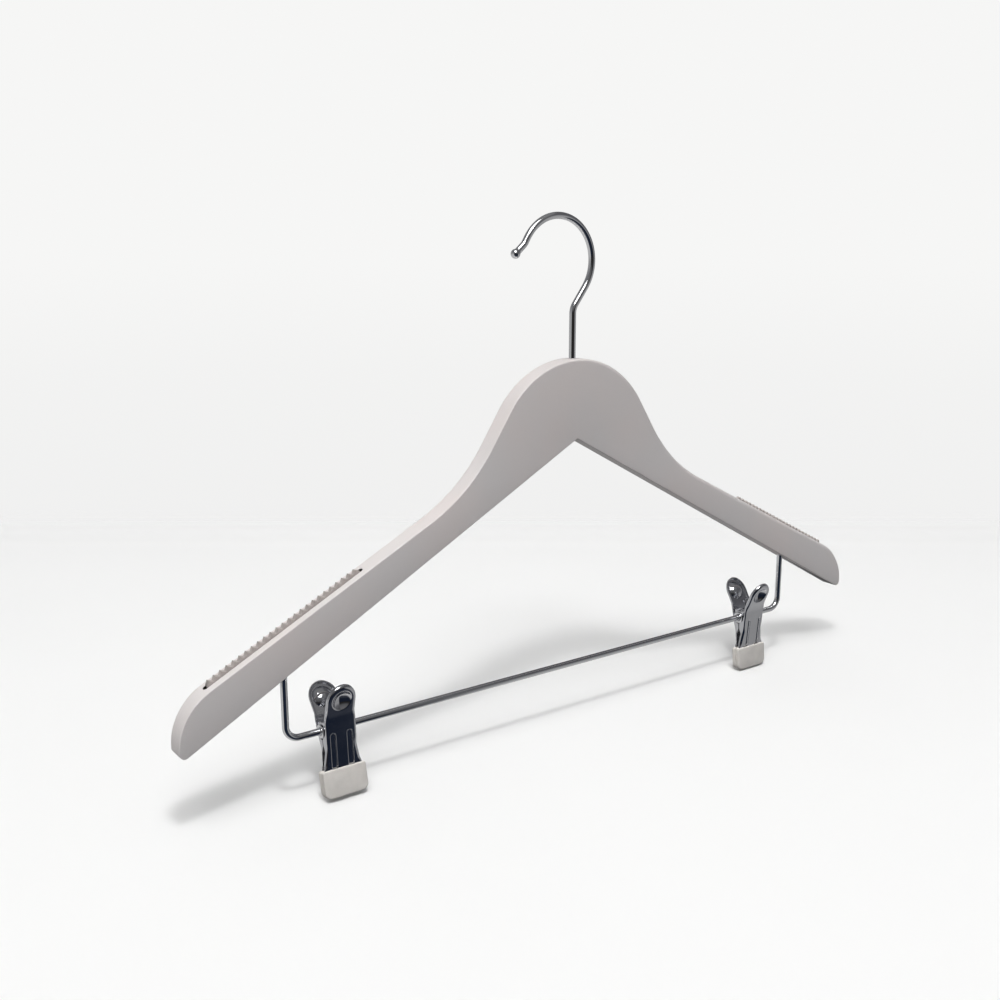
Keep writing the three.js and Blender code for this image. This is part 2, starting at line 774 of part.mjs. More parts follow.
function clip(side, x, tilt) {
  const group = new THREE.Group();
  group.position.set(x, 0, -BAR_DROP);
  group.rotation.x = -tilt;
  const back = new THREE.Group();
  back.rotation.z = Math.PI;
  group.add(named(`${side}_front_jaw`, jawGeometry(), CLIP_CHROME));
  group.add(named(`${side}_front_tip`, bootGeometry(), BOOT_RUBBER));
  back.add(named(`${side}_back_jaw`, jawGeometry(), CLIP_CHROME));
  back.add(named(`${side}_back_tip`, bootGeometry(), BOOT_RUBBER));
  group.add(back);
  group.add(named(`${side}_pivot_sleeve`, sleeveGeometry(), CHROME));
  const coil = wireGeometry(springStations(), SPRING_WIRE, SPRING_SIDES);
  group.add(named(`${side}_spring`, coil, SPRING_STEEL));
  return group;
}

const laidOut = new THREE.Group();
laidOut.add(named('left_arm', armGeometry(-1), PAINTED_WOOD));
laidOut.add(named('right_arm', armGeometry(1), PAINTED_WOOD));
laidOut.add(gripStrip('left_grip_strip', -1));
laidOut.add(gripStrip('right_grip_strip', 1));
laidOut.add(named('swivel_hook', hookGeometry(), CHROME));
laidOut.add(named('hook_retainer', retainerGeometry(), SPRING_STEEL));
laidOut.add(named('trouser_bar', barGeometry(), CHROME));
laidOut.add(clip('left', -CLIP_X, LEFT_CLIP_TILT));
laidOut.add(clip('right', CLIP_X, RIGHT_CLIP_TILT));

const crown = crownCentre();
laidOut.position.set(-crown.x, 0, -(crown.z + CROWN_RADIUS - HOOK_WIRE / 2));

const hanger = new THREE.Group();
hanger.add(laidOut);

export default hanger;
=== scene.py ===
"""Clip hanger, dressed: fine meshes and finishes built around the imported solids, in metres."""

import json
import math

import bmesh
import bpy
from bpy.props import FloatProperty, FloatVectorProperty, IntProperty, PointerProperty
from mathutils import Matrix, Vector
from mathutils.geometry import delaunay_2d_cdt


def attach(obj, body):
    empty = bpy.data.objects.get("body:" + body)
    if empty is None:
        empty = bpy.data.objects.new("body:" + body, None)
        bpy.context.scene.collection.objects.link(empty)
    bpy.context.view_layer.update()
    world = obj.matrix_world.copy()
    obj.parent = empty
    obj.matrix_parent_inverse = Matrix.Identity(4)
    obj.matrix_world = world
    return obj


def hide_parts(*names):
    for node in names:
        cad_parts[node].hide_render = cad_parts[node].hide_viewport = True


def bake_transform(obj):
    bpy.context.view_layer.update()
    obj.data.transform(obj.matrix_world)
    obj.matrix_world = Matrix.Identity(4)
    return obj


bl_info = {
    "name": "Clip hanger",
    "version": (1, 0, 0),
    "blender": (4, 5, 0),
    "location": "View3D > Sidebar > Hanger",
    "description": "Builds a painted clip hanger around its packed solids",
    "category": "Object",
}

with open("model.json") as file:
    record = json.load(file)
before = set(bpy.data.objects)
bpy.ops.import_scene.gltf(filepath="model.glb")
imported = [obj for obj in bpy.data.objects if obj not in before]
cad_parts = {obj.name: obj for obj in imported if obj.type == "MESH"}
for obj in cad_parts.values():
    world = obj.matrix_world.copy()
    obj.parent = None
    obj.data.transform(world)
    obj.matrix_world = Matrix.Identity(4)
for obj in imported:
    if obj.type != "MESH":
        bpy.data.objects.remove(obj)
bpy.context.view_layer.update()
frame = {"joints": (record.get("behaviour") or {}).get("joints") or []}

MM = 0.001
SAME_POINT = 0.05 * MM
SAME_CORNER = 1e-7
ON_CENTRE_LINE = 1e-9


def joint_place(name):
    """Where a joint stands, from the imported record."""
    joint = next(joint for joint in frame["joints"] if joint["name"] == name)
    return Vector(joint["pos_m"])


NECK_TOP = joint_place("hook_swivel")
CLIP_PLACES = {side: joint_place(f"{side}_clip_swing") for side in ("left", "right")}
BAR_DROP = NECK_TOP.z - CLIP_PLACES["left"].z
SIDES = {"left": -1, "right": 1}


def length(name, description, default):
    """A length in metres that a user may change."""
    return FloatProperty(name=name, description=description, default=default, precision=5, unit="LENGTH")


def angle(name, description, default):
    """An angle that a user may change, its default given in degrees."""
    return FloatProperty(name=name, description=description, default=math.radians(default), unit="ROTATION")


def colour(name, description, default):
    """A linear colour that a user may change."""
    return FloatVectorProperty(
        name=name, description=description, default=default, size=3, subtype="COLOR", min=0, max=1
    )


def power(name, description, default):
    """A lamp's power that a user may change."""
    return FloatProperty(name=name, description=description, default=default, unit="POWER")


class ArmSettings(bpy.types.PropertyGroup):
    """Sizes of the wooden arms, from the top of the neck."""

    span: length("Span", "Length of the hanger from tip to tip", 0.445)
    thickness: length("Thickness", "Thickness of the wood", 0.011)
    edge_ease: length("Edge ease", "Rounding of the long edges", 0.0012)
    dome_radius: length("Dome radius", "Rounding of the top of the neck", 0.052)
    flank_angle: angle("Flank angle", "Slope of the straight side of the neck", 57)
    flank_fillet: length("Flank fillet", "Hollow between the neck and the arm", 0.095)
    top_edge_drop: length("Top edge drop", "Arm's top edge, carried on to the centre line", 0.0268)
    top_edge_angle: angle("Top edge angle", "Slope of the arm's top edge", 26.95)
    apex_drop: length("Apex drop", "Underside at the centre line", 0.0412)
    underside_angle: angle("Underside angle", "Slope of the underside", 28.6)
    shoulder_radius: length("Shoulder radius", "Upper rounding at the arm's end", 0.028)
    heel_radius: length("Heel radius", "Lower rounding at the arm's end", 0.0026)
    paint: colour("Paint", "Satin paint of the arms", (0.765, 0.729, 0.716))


class GripSettings(bpy.types.PropertyGroup):
    """Sizes of the toothed grip strips."""

    tooth_count: IntProperty(name="Teeth", description="Teeth on each strip", default=25, min=3)
    tooth_pitch: length("Tooth pitch", "Distance from tooth to tooth", 0.0035)
    tooth_height: length("Tooth height", "Height of a tooth above its valley", 0.0016)
    tooth_valley: length("Valley", "Lowest point between teeth above the wood", 0.0005)
    width: length("Width", "Width of the strip", 0.0027)
    sink: length("Sink", "Depth of the strip in its slot", 0.0037)
    end_gap: length("End gap", "Slot beyond each end of the strip", 0.002)
    middle: length("Middle", "Middle of the strip from the centre line", 0.1672)
    setback: length("Setback", "Strip behind the middle of the wood", 0.0006)
    rubber: colour("Rubber", "Taupe rubber of the strips", (0.452, 0.408, 0.388))


class WireSettings(bpy.types.PropertyGroup):
    """Sizes of the swivel hook and the trouser bar."""

    hook_wire: length("Hook wire", "Diameter of the hook's wire", 0.0035)
    stem_rise: length("Stem rise", "Straight stem above the wood", 0.023)
    neck_bend: length("Neck bend", "Radius of the bend above the stem", 0.008)
    neck_lean: angle("Neck lean", "Lean of the hook's neck", 36.7)
    neck_run: length("Neck run", "Straight part of the neck", 0.0103)
    crown_radius: length("Crown radius", "Radius of the hook's crown", 0.02245)
    crown_sweep: angle("Crown sweep", "How far the crown goes round", 185.5)
    tail_lead: length("Tail lead", "Straight part between the crown and the last bend", 0.0025)
    tail_bend: length("Tail bend", "Radius of the bend before the tip", 0.006)
    tail_flare: angle("Tail flare", "How far the tip turns out again", 18)
    tail_run: length("Tail run", "Straight part before the ball", 0.0062)
    ball: length("Ball", "Diameter of the ball at the tip", 0.0048)
    bar_wire: length("Bar wire", "Diameter of the bar's wire", 0.0034)
    leg_x: length("Leg place", "Each leg from the centre line", 0.1694)
    leg_bend: length("Leg bend", "Radius of the bar's corners", 0.007)
    leg_insert: length("Leg insert", "Length of a leg inside the wood", 0.010)
    chrome: colour("Chrome", "Bright plating of hook and bar", (0.80, 0.805, 0.82))


class ClipSettings(bpy.types.PropertyGroup):
    """Sizes of the sprung clips, from the axis of the bar."""

    left_tilt: angle("Left tilt", "How far the left clip's handles lean back", 13.5)
    right_tilt: angle("Right tilt", "How far the right clip's handles lean back", 4.6)
    sheet: length("Sheet", "Thickness of the pressed steel", 0.00065)
    plate_offset: length("Plate offset", "Outer face of the plate from the axis", 0.005)
    lower_lean: angle("Lower lean", "Lean of the plate below the bar", 9.5)
    handle_lean: angle("Handle lean", "Lean of the thumb plate", 27.5)
    knee_rise: length("Knee", "Height of the bend between plate and handle", 0.005)
    head_top: length("Head top", "Top of the thumb plate", 0.0208)
    head_half: length("Head half width", "Half the width of the thumb plate", 0.0077)
    ear_half: length("Ear half width", "Half the width beside the bar", 0.00815)
    flare_half: length("Flare half width", "Half the width where the plate enters the rubber", 0.010)
    dimple_height: length("Dimple height", "Middle of the thumb dimple", 0.0137)
    dimple_radius: length("Dimple radius", "Radius of the thumb dimple", 0.0052)
    dimple_depth: length("Dimple depth", "Depth of the thumb dimple", 0.0027)
    groove_x: length("Groove place", "Each groove from the middle of the plate", 0.00445)
    groove_width: length("Groove width", "Width of a pressed groove", 0.0034)
    groove_depth: length("Groove depth", "Depth of a pressed groove", 0.0008)
    groove_top: length("Groove top", "Upper end of the grooves", -0.0014)
    boot_half: length("Boot half width", "Half the width of a rubber boot", 0.0115)
    boot_top: length("Boot top", "Upper edge of the boots below the bar", 0.019)
    boot_bottom: length("Boot bottom", "Lower edge of the boots below the bar", 0.0326)
    boot_thickness: length("Boot thickness", "Thickness of one boot", 0.00265)
    spring_wire: length("Spring wire", "Diameter of the spring's wire", 0.0009)
    spring_radius: length("Spring radius", "Radius of the spring's coil", 0.0033)
    plating: colour("Plating", "Bright plating of the clips", (0.66, 0.665, 0.69))
    spring_steel: colour("Spring steel", "Drawn steel of springs and hook cap", (0.42, 0.42, 0.43))
    rubber: colour("Boot rubber", "Pale rubber of the boots", (0.765, 0.730, 0.685))


class StageSettings(bpy.types.PropertyGroup):
    """The floor, the light and the camera's lens."""

    floor: colour("Floor", "Pale floor", (0.90, 0.90, 0.893))
    lamp_power: power("Lamp", "Small lamp above the camera", 2.7)
    panel_power: power("Panel", "Soft panel behind the lamp", 5.2)
    lens: FloatProperty(name="Lens", description="Focal length in millimetres", default=42.81)


# Meshes


def rounded_outline(corners, step):
    """Points of a closed outline through (x, z, rounding) corners, one for each step of arc."""
    points = []
    for index, (x, z, radius) in enumerate(corners):
        corner = Vector((x, z))
        incoming = (corner - Vector(corners[index - 1][:2])).normalized()
        outgoing = (Vector(corners[(index + 1) % len(corners)][:2]) - corner).normalized()
        if radius <= 0:
            points.append(corner)
            continue
        turn = math.atan2(incoming.cross(outgoing), incoming.dot(outgoing))
        start = corner - incoming * (radius * math.tan(abs(turn) / 2))
        centre = start + Vector((-incoming.y, incoming.x)) * math.copysign(radius, turn)
        pieces = 2 * math.ceil(abs(turn) / step / 2)
        for piece in range(pieces + 1):
            points.append(centre + Matrix.Rotation(turn * piece / pieces, 2) @ (start - centre))
    return points


def mirrored(corners):
    """The (x, z, rounding) corners on the left that match those on the right, in reverse order."""
    return [(-x, z, radius) for x, z, radius in reversed(corners)]


def filled_outline(points, spacing):
    """The same closed outline with no gap between points wider than the spacing."""
    filled = []
    for index, point in enumerate(points):
        after = points[(index + 1) % len(points)]
        pieces = max(1, math.ceil((after - point).length / spacing))
        filled += [point.lerp(after, piece / pieces) for piece in range(pieces)]
    return [point for index, point in enumerate(filled) if (point - filled[index - 1]).length > SAME_POINT]


def inward_mitres(points):
    """For each point of a closed outline, how it moves when the outline shrinks by one."""
    turning = sum(point.cross(after) for point, after in zip(points, points[1:] + points[:1]))
    mitres = []
    for index, point in enumerate(points):
        before = (point - points[index - 1]).normalized()
        after = (points[(index + 1) % len(points)] - point).normalized()
        mean = (before + after).normalized()
        inward = Vector((-mean.y, mean.x)) * math.copysign(1, turning)
        mitres.append(inward / mean.dot(after))
    return mitres


def quarter_round(radius, pieces):
    """Steps of a rounded edge, as (inset from the side, drop from the face), from face to side."""
    steps = []
    for piece in range(pieces + 1):
        turn = math.pi / 2 * piece / pieces
        steps.append((radius * (1 - math.sin(turn)), radius * (1 - math.cos(turn))))
    return steps


def soft_step(value, low, high):
    """0 below low, 1 above high, and smooth between them."""
    share = min(1, max(0, (value - low) / (high - low)))
    return share * share * (3 - 2 * share)


def soft_ramp(value, spread):
    """0 well below zero, the value itself well above it, and a smooth curve between."""
    if value <= -spread:
        return 0
    return value if value >= spread else (value + spread) ** 2 / (4 * spread)


def by_height(z, levels):
    """A size that changes smoothly with height, from (height, size) levels, highest first."""
    for (high, upper), (low, lower) in zip(levels, levels[1:]):
        if z > low:
            return lower + (upper - lower) * soft_step(z, low, high)
    return levels[-1][1]


def circle(middle, first, second, radius, sides):
    """Points round a middle, in the plane of two directions that stand square to each other."""
    turns = [2 * math.pi * side / sides for side in range(sides)]
    return [middle + (first * math.cos(turn) + second * math.sin(turn)) * radius for turn in turns]


def skin(mesh, rings, closed=True):
    """Lays quads between neighbouring rings of points and returns the rings' corners."""
    loops = [[mesh.verts.new(point) for point in ring] for ring in rings]
    span = len(loops[0])
    for near, far in zip(loops, loops[1:]):
        for index in range(span if closed else span - 1):
            following = (index + 1) % span
            mesh.faces.new((near[index], near[following], far[following], far[index]))
    return loops


def capped(rings):
    """A closed tube of rings with a flat face on each end."""
    mesh = bmesh.new()
    loops = skin(mesh, rings)
    mesh.faces.new(loops[0])
    mesh.faces.new(loops[-1])
    return mesh


def eased_slab(outline, low_y, high_y, low_ease, high_ease):
    """An outline in (x, z) carried along y, with rounded edges on both faces."""
    mitres = inward_mitres(outline)
    low = [(inset, low_y + drop) for inset, drop in quarter_round(low_ease, 4)]
    high = [(inset, high_y - drop) for inset, drop in reversed(quarter_round(high_ease, 4))]
    rings = []
    for inset, y in low + high:
        moved = [point + mitre * inset for point, mitre in zip(outline, mitres)]
        rings.append([Vector((point.x, y, point.y)) for point in moved])
    return capped(rings)


def turned(profile, axis, sides, closed=False):
    """A profile of (place along the axis, radius) points spun round the X or Z axis, either
    closed on itself or with a flat face on each end."""
    rings = []
    for along, radius in profile:
        ring = []
        for side in range(sides):
            turn = 2 * math.pi * side / sides
            across, up = radius * math.cos(turn), radius * math.sin(turn)
            ring.append(Vector((along, across, up)) if axis == "X" else Vector((across, up, along)))
        rings.append(ring)
    if not closed:
        return capped(rings)
    mesh = bmesh.new()
    skin(mesh, rings + rings[:1])
    bmesh.ops.remove_doubles(mesh, verts=mesh.verts, dist=SAME_CORNER)
    return mesh


def set_down(name, data, place):
    """An object that is moved to its place and whose mesh is turned there."""
    data.transform(place.to_3x3().to_4x4())
    made = bpy.data.objects.new(name, data)
    made.location = place.translation
    bpy.context.scene.collection.objects.link(made)
    bpy.context.view_layer.update()
    return made


def new_object(name, mesh, place):
    """Puts a finished mesh into the scene as an object at the given place."""
    bmesh.ops.recalc_face_normals(mesh, faces=mesh.faces)
    data = bpy.data.meshes.new(name)
    mesh.to_mesh(data)
    mesh.free()
    return set_down(name, data, place)


def smooth(data, sharp_angle=math.radians(38)):
    """Smooth shading, broken at edges sharper than the angle."""
    data.shade_smooth()
    data.set_sharp_from_angle(angle=sharp_angle)


def settle(piece):
    """Keeps what the modifiers make as the piece's own mesh."""
    graph = bpy.context.evaluated_depsgraph_get()
    data = bpy.data.meshes.new_from_object(piece.evaluated_get(graph))
    piece.modifiers.clear()
    rough = piece.data
    piece.data = data
    bpy.data.meshes.remove(rough)
    smooth(data)


def discard(piece):
    """Takes away a piece that only helped to make others."""
    data = piece.data
    bpy.data.objects.remove(piece)
    bpy.data.meshes.remove(data)


def carve(piece, cutters):
    """Cuts each cutter's form out of the piece."""
    for cutter in cutters:
        cut = piece.modifiers.new(cutter.name, "BOOLEAN")
        cut.operation = "DIFFERENCE"
        cut.solver = "EXACT"
        cut.object = cutter
    bpy.context.view_layer.update()
    settle(piece)
    for cutter in cutters:
        discard(cutter)


def like(piece, name, place):
    """Another piece with the same mesh, at its own place."""
    return set_down(name, piece.data.copy(), place)


def dress(piece, finish, body, node):
    """Gives a piece its finish, puts it on its body, and hides the node that it stands for."""
    piece.data.materials.clear()
    piece.data.materials.append(finish)
    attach(piece, body)
    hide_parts(node)


def clip_place(side):
    """A clip's own frame: the axis of the bar, turned so that the handles lean back."""
    clips = bpy.context.scene.hanger_clips
    tilt = clips.left_tilt if side == "left" else clips.right_tilt
    return Matrix.Translation(CLIP_PLACES[side]) @ Matrix.Rotation(-tilt, 4, "X")


HALF_TURN = Matrix.Rotation(math.pi, 4, "Z")


def jaw_places():
    """Each jaw's name, which is its body's too, and its place; a back jaw is a front jaw turned round."""
    for side in SIDES:
        yield f"{side}_front", clip_place(side)
        yield f"{side}_back", clip_place(side) @ HALF_TURN


# Finishes


class NodeWork:
    """A node tree that is put together socket by socket."""

    def __init__(self, tree):
        self.tree = tree

    def feed(self, socket, value):
        """Links a socket to another one, or sets its value."""
        if isinstance(value, bpy.types.NodeSocket):
            self.tree.links.new(value, socket)
        else:
            socket.default_value = value

    def add(self, kind, inputs, **settings):
        """A new node with its settings made and its inputs fed, by name or number."""
        node = self.tree.nodes.new(f"ShaderNode{kind}")
        for name, value in settings.items():
            setattr(node, name, value)
        for socket, value in inputs.items():
            self.feed(node.inputs[socket], value)
        return node

    def ramp(self, source, stops):
        """Colours or greys laid over a value, from (position, tone) stops."""
        node = self.add("ValToRGB", {"Fac": source})
        while len(node.color_ramp.elements) < len(stops):
            node.color_ramp.elements.new(0.5)
        for element, (position, tone) in zip(node.color_ramp.elements, stops):
            element.position = position
            element.color = (*tone, 1) if isinstance(tone, tuple) else (tone, tone, tone, 1)
        return node.outputs["Color"]

    def mix(self, share, first, second, kind="RGBA"):
        """Two colours, or two numbers, mixed in a share."""
        inputs = {"Factor": share, "A": first, "B": second}
        return self.add("Mix", inputs, data_type=kind).outputs["Result"]

    def faded(self, source, low, high, start=0, end=1):
        """Goes smoothly from start to end while a value goes from low to high."""
        inputs = {"Value": source, "From Min": low, "From Max": high, "To Min": start, "To Max": end}
        return self.add("MapRange", inputs, interpolation_type="SMOOTHSTEP").outputs["Result"]


class Finish(NodeWork):
    """A material whose nodes feed one shader."""

    def __init__(self, name):
        self.material = bpy.data.materials.new(name)
        self.material.use_nodes = True
        super().__init__(self.material.node_tree)
        self.shader = self.tree.nodes["Principled BSDF"]
        self.place = self.add("TexCoord", {}).outputs["Object"]

    def put(self, name, value):
        """Feeds one of the shader's own sockets."""
        self.feed(self.shader.inputs[name], value)

    def drift(self, name, source, low, high, between=(0.3, 0.7)):
        """Lets one of the shader's sockets go from one tone to another as a noise does."""
        self.put(name, self.ramp(source, [(between[0], low), (between[1], high)]))

    def stretched(self, scale, turn=(0, 0, 0)):
        """The piece's own coordinates, turned and then scaled."""
        inputs = {"Vector": self.place, "Rotation": turn, "Scale": scale}
        return self.add("Mapping", inputs).outputs["Vector"]

    def noise(self, scale, detail, place=None, rough=0.5):
        """A cloudy value over the piece."""
        inputs = {"Vector": place or self.place, "Scale": scale, "Detail": detail, "Roughness": rough}
        return self.add("TexNoise", inputs).outputs["Fac"]

    def where(self, mark, base, tone):
        """A colour that gives way to another tone on the faces that carry a mark."""
        share = self.add("Attribute", {}, attribute_name=mark).outputs["Fac"]
        return self.mix(share, base, (*tone, 1))

    def relief(self, height, strength, distance):
        """Fine unevenness of the surface."""
        inputs = {"Height": height, "Strength": strength, "Distance": distance}
        self.put("Normal", self.add("Bump", inputs).outputs["Normal"])


def shaded(tone, factor):
    """A colour made lighter or darker."""
    return tuple(min(1.0, channel * factor) for channel in tone)


# Near-black painted shade for the walls inside the grip slots, standing in for the shade deep in the narrow
# slot.
PAINTED_SLOT_SHADE = (0.03, 0.026, 0.023)


def satin_paint(tone):
    """Sprayed satin paint over wood: a faint warm drift, sprayed fleck, a hint of the grain below, and a
    near-black painted shade on the walls inside the grip slots.
    """
    paint = Finish("satin_paint")
    warm = (tone[0] * 1.015, tone[1] * 0.985, tone[2] * 0.975)
    coat = paint.ramp(paint.noise(22, 2), [(0.35, shaded(tone, 0.985)), (0.65, warm)])
    # On the walls inside the grip slots the coat gives way to the near-black painted shade.
    paint.put("Base Color", paint.where("painted_slot_shade", coat, PAINTED_SLOT_SHADE))
    spray = paint.noise(1500, 3)
    grain = paint.noise(1, 4, paint.stretched((26, 420, 420)), 0.62)
    paint.drift("Roughness", spray, 0.40, 0.50)
    paint.relief(paint.mix(0.55, spray, grain, "FLOAT"), 0.16, 0.12 * MM)
    paint.put("Specular IOR Level", 0.42)
    return paint.material


def rubber(name, tone, roughness, fleck):
    """Moulded rubber: matt, with a fine skin and a slight bloom."""
    finish = Finish(name)
    finish.drift("Base Color", finish.noise(160, 3), shaded(tone, 0.93), shaded(tone, 1.05))
    pores = finish.noise(fleck, 2)
    finish.drift("Roughness", pores, roughness - 0.06, roughness + 0.06)
    finish.relief(pores, 0.25, 0.08 * MM)
    finish.put("Specular IOR Level", 0.35)
    return finish.material


def plated(name, tone, roughness, scuff):
    """Bright plating: smooth, with fine handling marks and a slow change of polish."""
    finish = Finish(name)
    polish = finish.noise(90, 3)
    marks = finish.noise(1, 3, finish.stretched((300, 2200, 900), (0.3, 0.2, 0.5)), 0.7)
    finish.drift("Base Color", polish, shaded(tone, 0.97), shaded(tone, 1.03))
    wear = finish.mix(0.5, polish, marks, "FLOAT")
    finish.drift("Roughness", wear, roughness, roughness + scuff, (0.3, 0.75))
    finish.relief(marks, 0.02, 0.04 * MM)
    finish.put("Metallic", 1.0)
    return finish.material


# Wooden arms


def top_edge(arms, x):
    """Height of the arms' straight top edge beside the centre line, from the top of the neck."""
    return -arms.top_edge_drop - abs(x) * math.tan(arms.top_edge_angle)


def underside(arms, x):
    """Height of the arms' underside, from the top of the neck."""
    return -arms.apex_drop - abs(x) * math.tan(arms.underside_angle)


def arm_corners(arms):
    """Corners of the whole body's outline, from the top of the neck round to the left flank."""
    half = arms.span / 2
    flanks_meet = arms.dome_radius / math.cos(arms.flank_angle) - arms.dome_radius
    slope_change = math.tan(arms.flank_angle) - math.tan(arms.top_edge_angle)
    hollow = (flanks_meet + arms.top_edge_drop) / slope_change
    right = [
        (hollow, top_edge(arms, hollow), arms.flank_fillet),
        (half, top_edge(arms, half), arms.shoulder_radius),
        (half, underside(arms, half), arms.heel_radius),
    ]
    neck = (0, flanks_meet, arms.dome_radius)
    return [neck, *right, (0, -arms.apex_drop, 0), *mirrored(right)]


# Shares of the edge ease, and how far up a point of the outline faces before it counts as top edge.
CRISP_EASE = 0.35
SANDED_EASE = 1.8
EASE_CHANGE = 30 * MM
FACING_UP = (0.1, 0.7)
ARM_ARC_STEP = math.radians(1.5)


def front_eases(points, mitres, side):
    """Share of the edge ease at each point of the front: the right arm's top edge is sanded rounder."""
    eases = []
    for point, mitre in zip(points, mitres):
        upper = soft_step(-mitre.y, *FACING_UP)
        out = soft_step(point.x, 0, EASE_CHANGE)
        top = 1 + ((SANDED_EASE if side > 0 else CRISP_EASE) - 1) * out
        eases.append(CRISP_EASE + (top - CRISP_EASE) * upper)
    return eases


def arm_mesh(arms, side):
    """One half of the body, drawn on the right, with rounded edges and a flat face on the centre line."""
    outline = rounded_outline(arm_corners(arms), ARM_ARC_STEP)
    mitres = inward_mitres(outline)
    crest = max(range(len(outline)), key=lambda index: outline[index].y)
    apex = next(index for index in range(crest + 1, len(outline)) if abs(outline[index].x) < ON_CENTRE_LINE)
    outline = outline[crest:apex + 1]
    mitres = mitres[crest:apex + 1]
    eases = front_eases(outline, mitres, side)
    full = [1] * len(outline)
    ease = quarter_round(arms.edge_ease, 6)
    face = arms.thickness / 2
    levels = [(inset, drop, eases, 1) for inset, drop in ease]
    levels += [(inset, drop, full, -1) for inset, drop in reversed(ease)]
    rings = []
    for inset, drop, shares, inward in levels:
        ring = []
        for point, mitre, share in zip(outline, mitres, shares):
            moved = point + mitre * (inset * share)
            ring.append(Vector((max(moved.x, 0), inward * (drop * share - face), moved.y)))
        rings.append(ring)
    mesh = bmesh.new()
    loops = skin(mesh, rings, closed=False)
    mesh.faces.new(loops[0])
    mesh.faces.new(loops[-1])
    mesh.faces.new([loop[0] for loop in loops] + [loop[-1] for loop in reversed(loops)])
    return mesh


def strip_half(grips):
    """Half the length of a grip strip."""
    return grips.tooth_count * grips.tooth_pitch / 2


def slot_place(arms, grips, side):
    """Middle of a grip slot on the arm's top edge, turned along the arm."""
    point = Vector((side * grips.middle, grips.setback, top_edge(arms, grips.middle)))
    return Matrix.Translation(NECK_TOP + point) @ Matrix.Rotation(side * arms.top_edge_angle, 4, "Y")


# The slot's ends are a hair short of half round, so that no two of its points fall together.
SLOT_SPARE = 0.25 * MM
SLOT_LIP = 0.35 * MM
SLOT_ROUND = 0.999
SLOT_MOUTH = 3 * MM
CORNER_ARC_STEP = math.radians(6)


def slot_cutter(arms, grips, side):
    """A round-ended slot whose mouth is eased by the paint."""
    half = strip_half(grips) + grips.end_gap
    edge = grips.width / 2 + SLOT_SPARE
    corners = [(-half, -edge), (half, -edge), (half, edge), (-half, edge)]
    outline = rounded_outline([(x, y, edge * SLOT_ROUND) for x, y in corners], CORNER_ARC_STEP)
    mitres = inward_mitres(outline)
    levels = [(0, -grips.sink - SLOT_SPARE)]
    levels += [(lip, -drop) for drop, lip in quarter_round(SLOT_LIP, 5)]
    levels += [(SLOT_LIP, SLOT_MOUTH)]
    rings = []
    for lip, z in levels:
        moved = [point - mitre * lip for point, mitre in zip(outline, mitres)]
        rings.append([Vector((point.x, point.y, z)) for point in moved])
    return new_object("slot_cutter", capped(rings), slot_place(arms, grips, side))


def mark_painted_slot_shade(arm, grips, place):
    """Marks the walls inside a grip slot, which take a near-black painted shade in place of the paint."""
    half = strip_half(grips) + grips.end_gap + SLOT_SPARE
    edge = grips.width / 2 + 2 * SLOT_SPARE
    into_slot = place.inverted() @ arm.matrix_world
    marks = arm.data.attributes.new("painted_slot_shade", "FLOAT", "FACE")
    for face in arm.data.polygons:
        centre = into_slot @ face.center
        within = centre.z < -SLOT_LIP and abs(centre.y) < edge and abs(centre.x) < half
        marks.data[face.index].value = 1.0 if within else 0.0


BORE_SIDES = 56


def bore_cutter(name, x, levels):
    """A round bore along z, given as (height, radius) levels from the top of the neck."""
    mesh = turned(levels, "Z", BORE_SIDES)
    return new_object(name, mesh, Matrix.Translation(NECK_TOP + Vector((x, 0, 0))))


STEM_LIP = 0.5 * MM
COUNTERBORE = 10.5 * MM
CAP_RADIUS = 3.2 * MM
CAP_HEIGHT = 8 * MM
BORE_SPARE = 0.3 * MM
LEG_SPARE = 0.12 * MM
STEM_BORE_ENDS = (-50 * MM, 5 * MM)
CAP_BORE_FOOT = -60 * MM
LEG_BORE_FOOT = -200 * MM


class HANGER_OT_arms(bpy.types.Operator):
    """Build the two painted arms with their slots and bores"""

    bl_idname = "hanger.arms"
    bl_label = "Wooden arms"

    def execute(self, context):
        arms = context.scene.hanger_arms
        grips = context.scene.hanger_grips
        wires = context.scene.hanger_wires
        finish = satin_paint(arms.paint)
        stem = wires.hook_wire / 2 + BORE_SPARE
        lip = [(-drop, stem + inset) for inset, drop in reversed(quarter_round(STEM_LIP, 5))]
        stem_levels = [(STEM_BORE_ENDS[0], stem), *lip, (STEM_BORE_ENDS[1], stem + STEM_LIP)]
        cap = CAP_RADIUS + BORE_SPARE
        cap_levels = [(CAP_BORE_FOOT, cap), (COUNTERBORE - arms.apex_drop, cap)]
        leg = wires.bar_wire / 2 + LEG_SPARE
        leg_top = underside(arms, wires.leg_x) + wires.leg_insert + BORE_SPARE
        for name, side in SIDES.items():
            mesh = arm_mesh(arms, side)
            bmesh.ops.scale(mesh, vec=(side, 1, 1), verts=mesh.verts)
            arm = new_object(f"{name}_painted_arm", mesh, Matrix.Translation(NECK_TOP))
            carve(arm, [
                slot_cutter(arms, grips, side),
                bore_cutter("stem_bore", 0, stem_levels),
                bore_cutter("cap_bore", 0, cap_levels),
                bore_cutter("leg_bore", side * wires.leg_x, [(LEG_BORE_FOOT, leg), (leg_top, leg)]),
            ])
            # The walls inside the slot are marked for the near-black painted shade.
            mark_painted_slot_shade(arm, grips, slot_place(arms, grips, side))
            dress(arm, finish, "frame", f"{name}_arm")
        return {"FINISHED"}


# Grip strips


VALLEY_POWER = 1.25
SCALLOP = (0.03, 0.08, 0.15, 0.24, 0.36, 0.5, 0.64, 0.76, 0.85, 0.92, 0.97)
TIP_WEAR = 0.965
STRIP_EASE = 0.2 * MM
TOOTH_CREASE = math.radians(50)


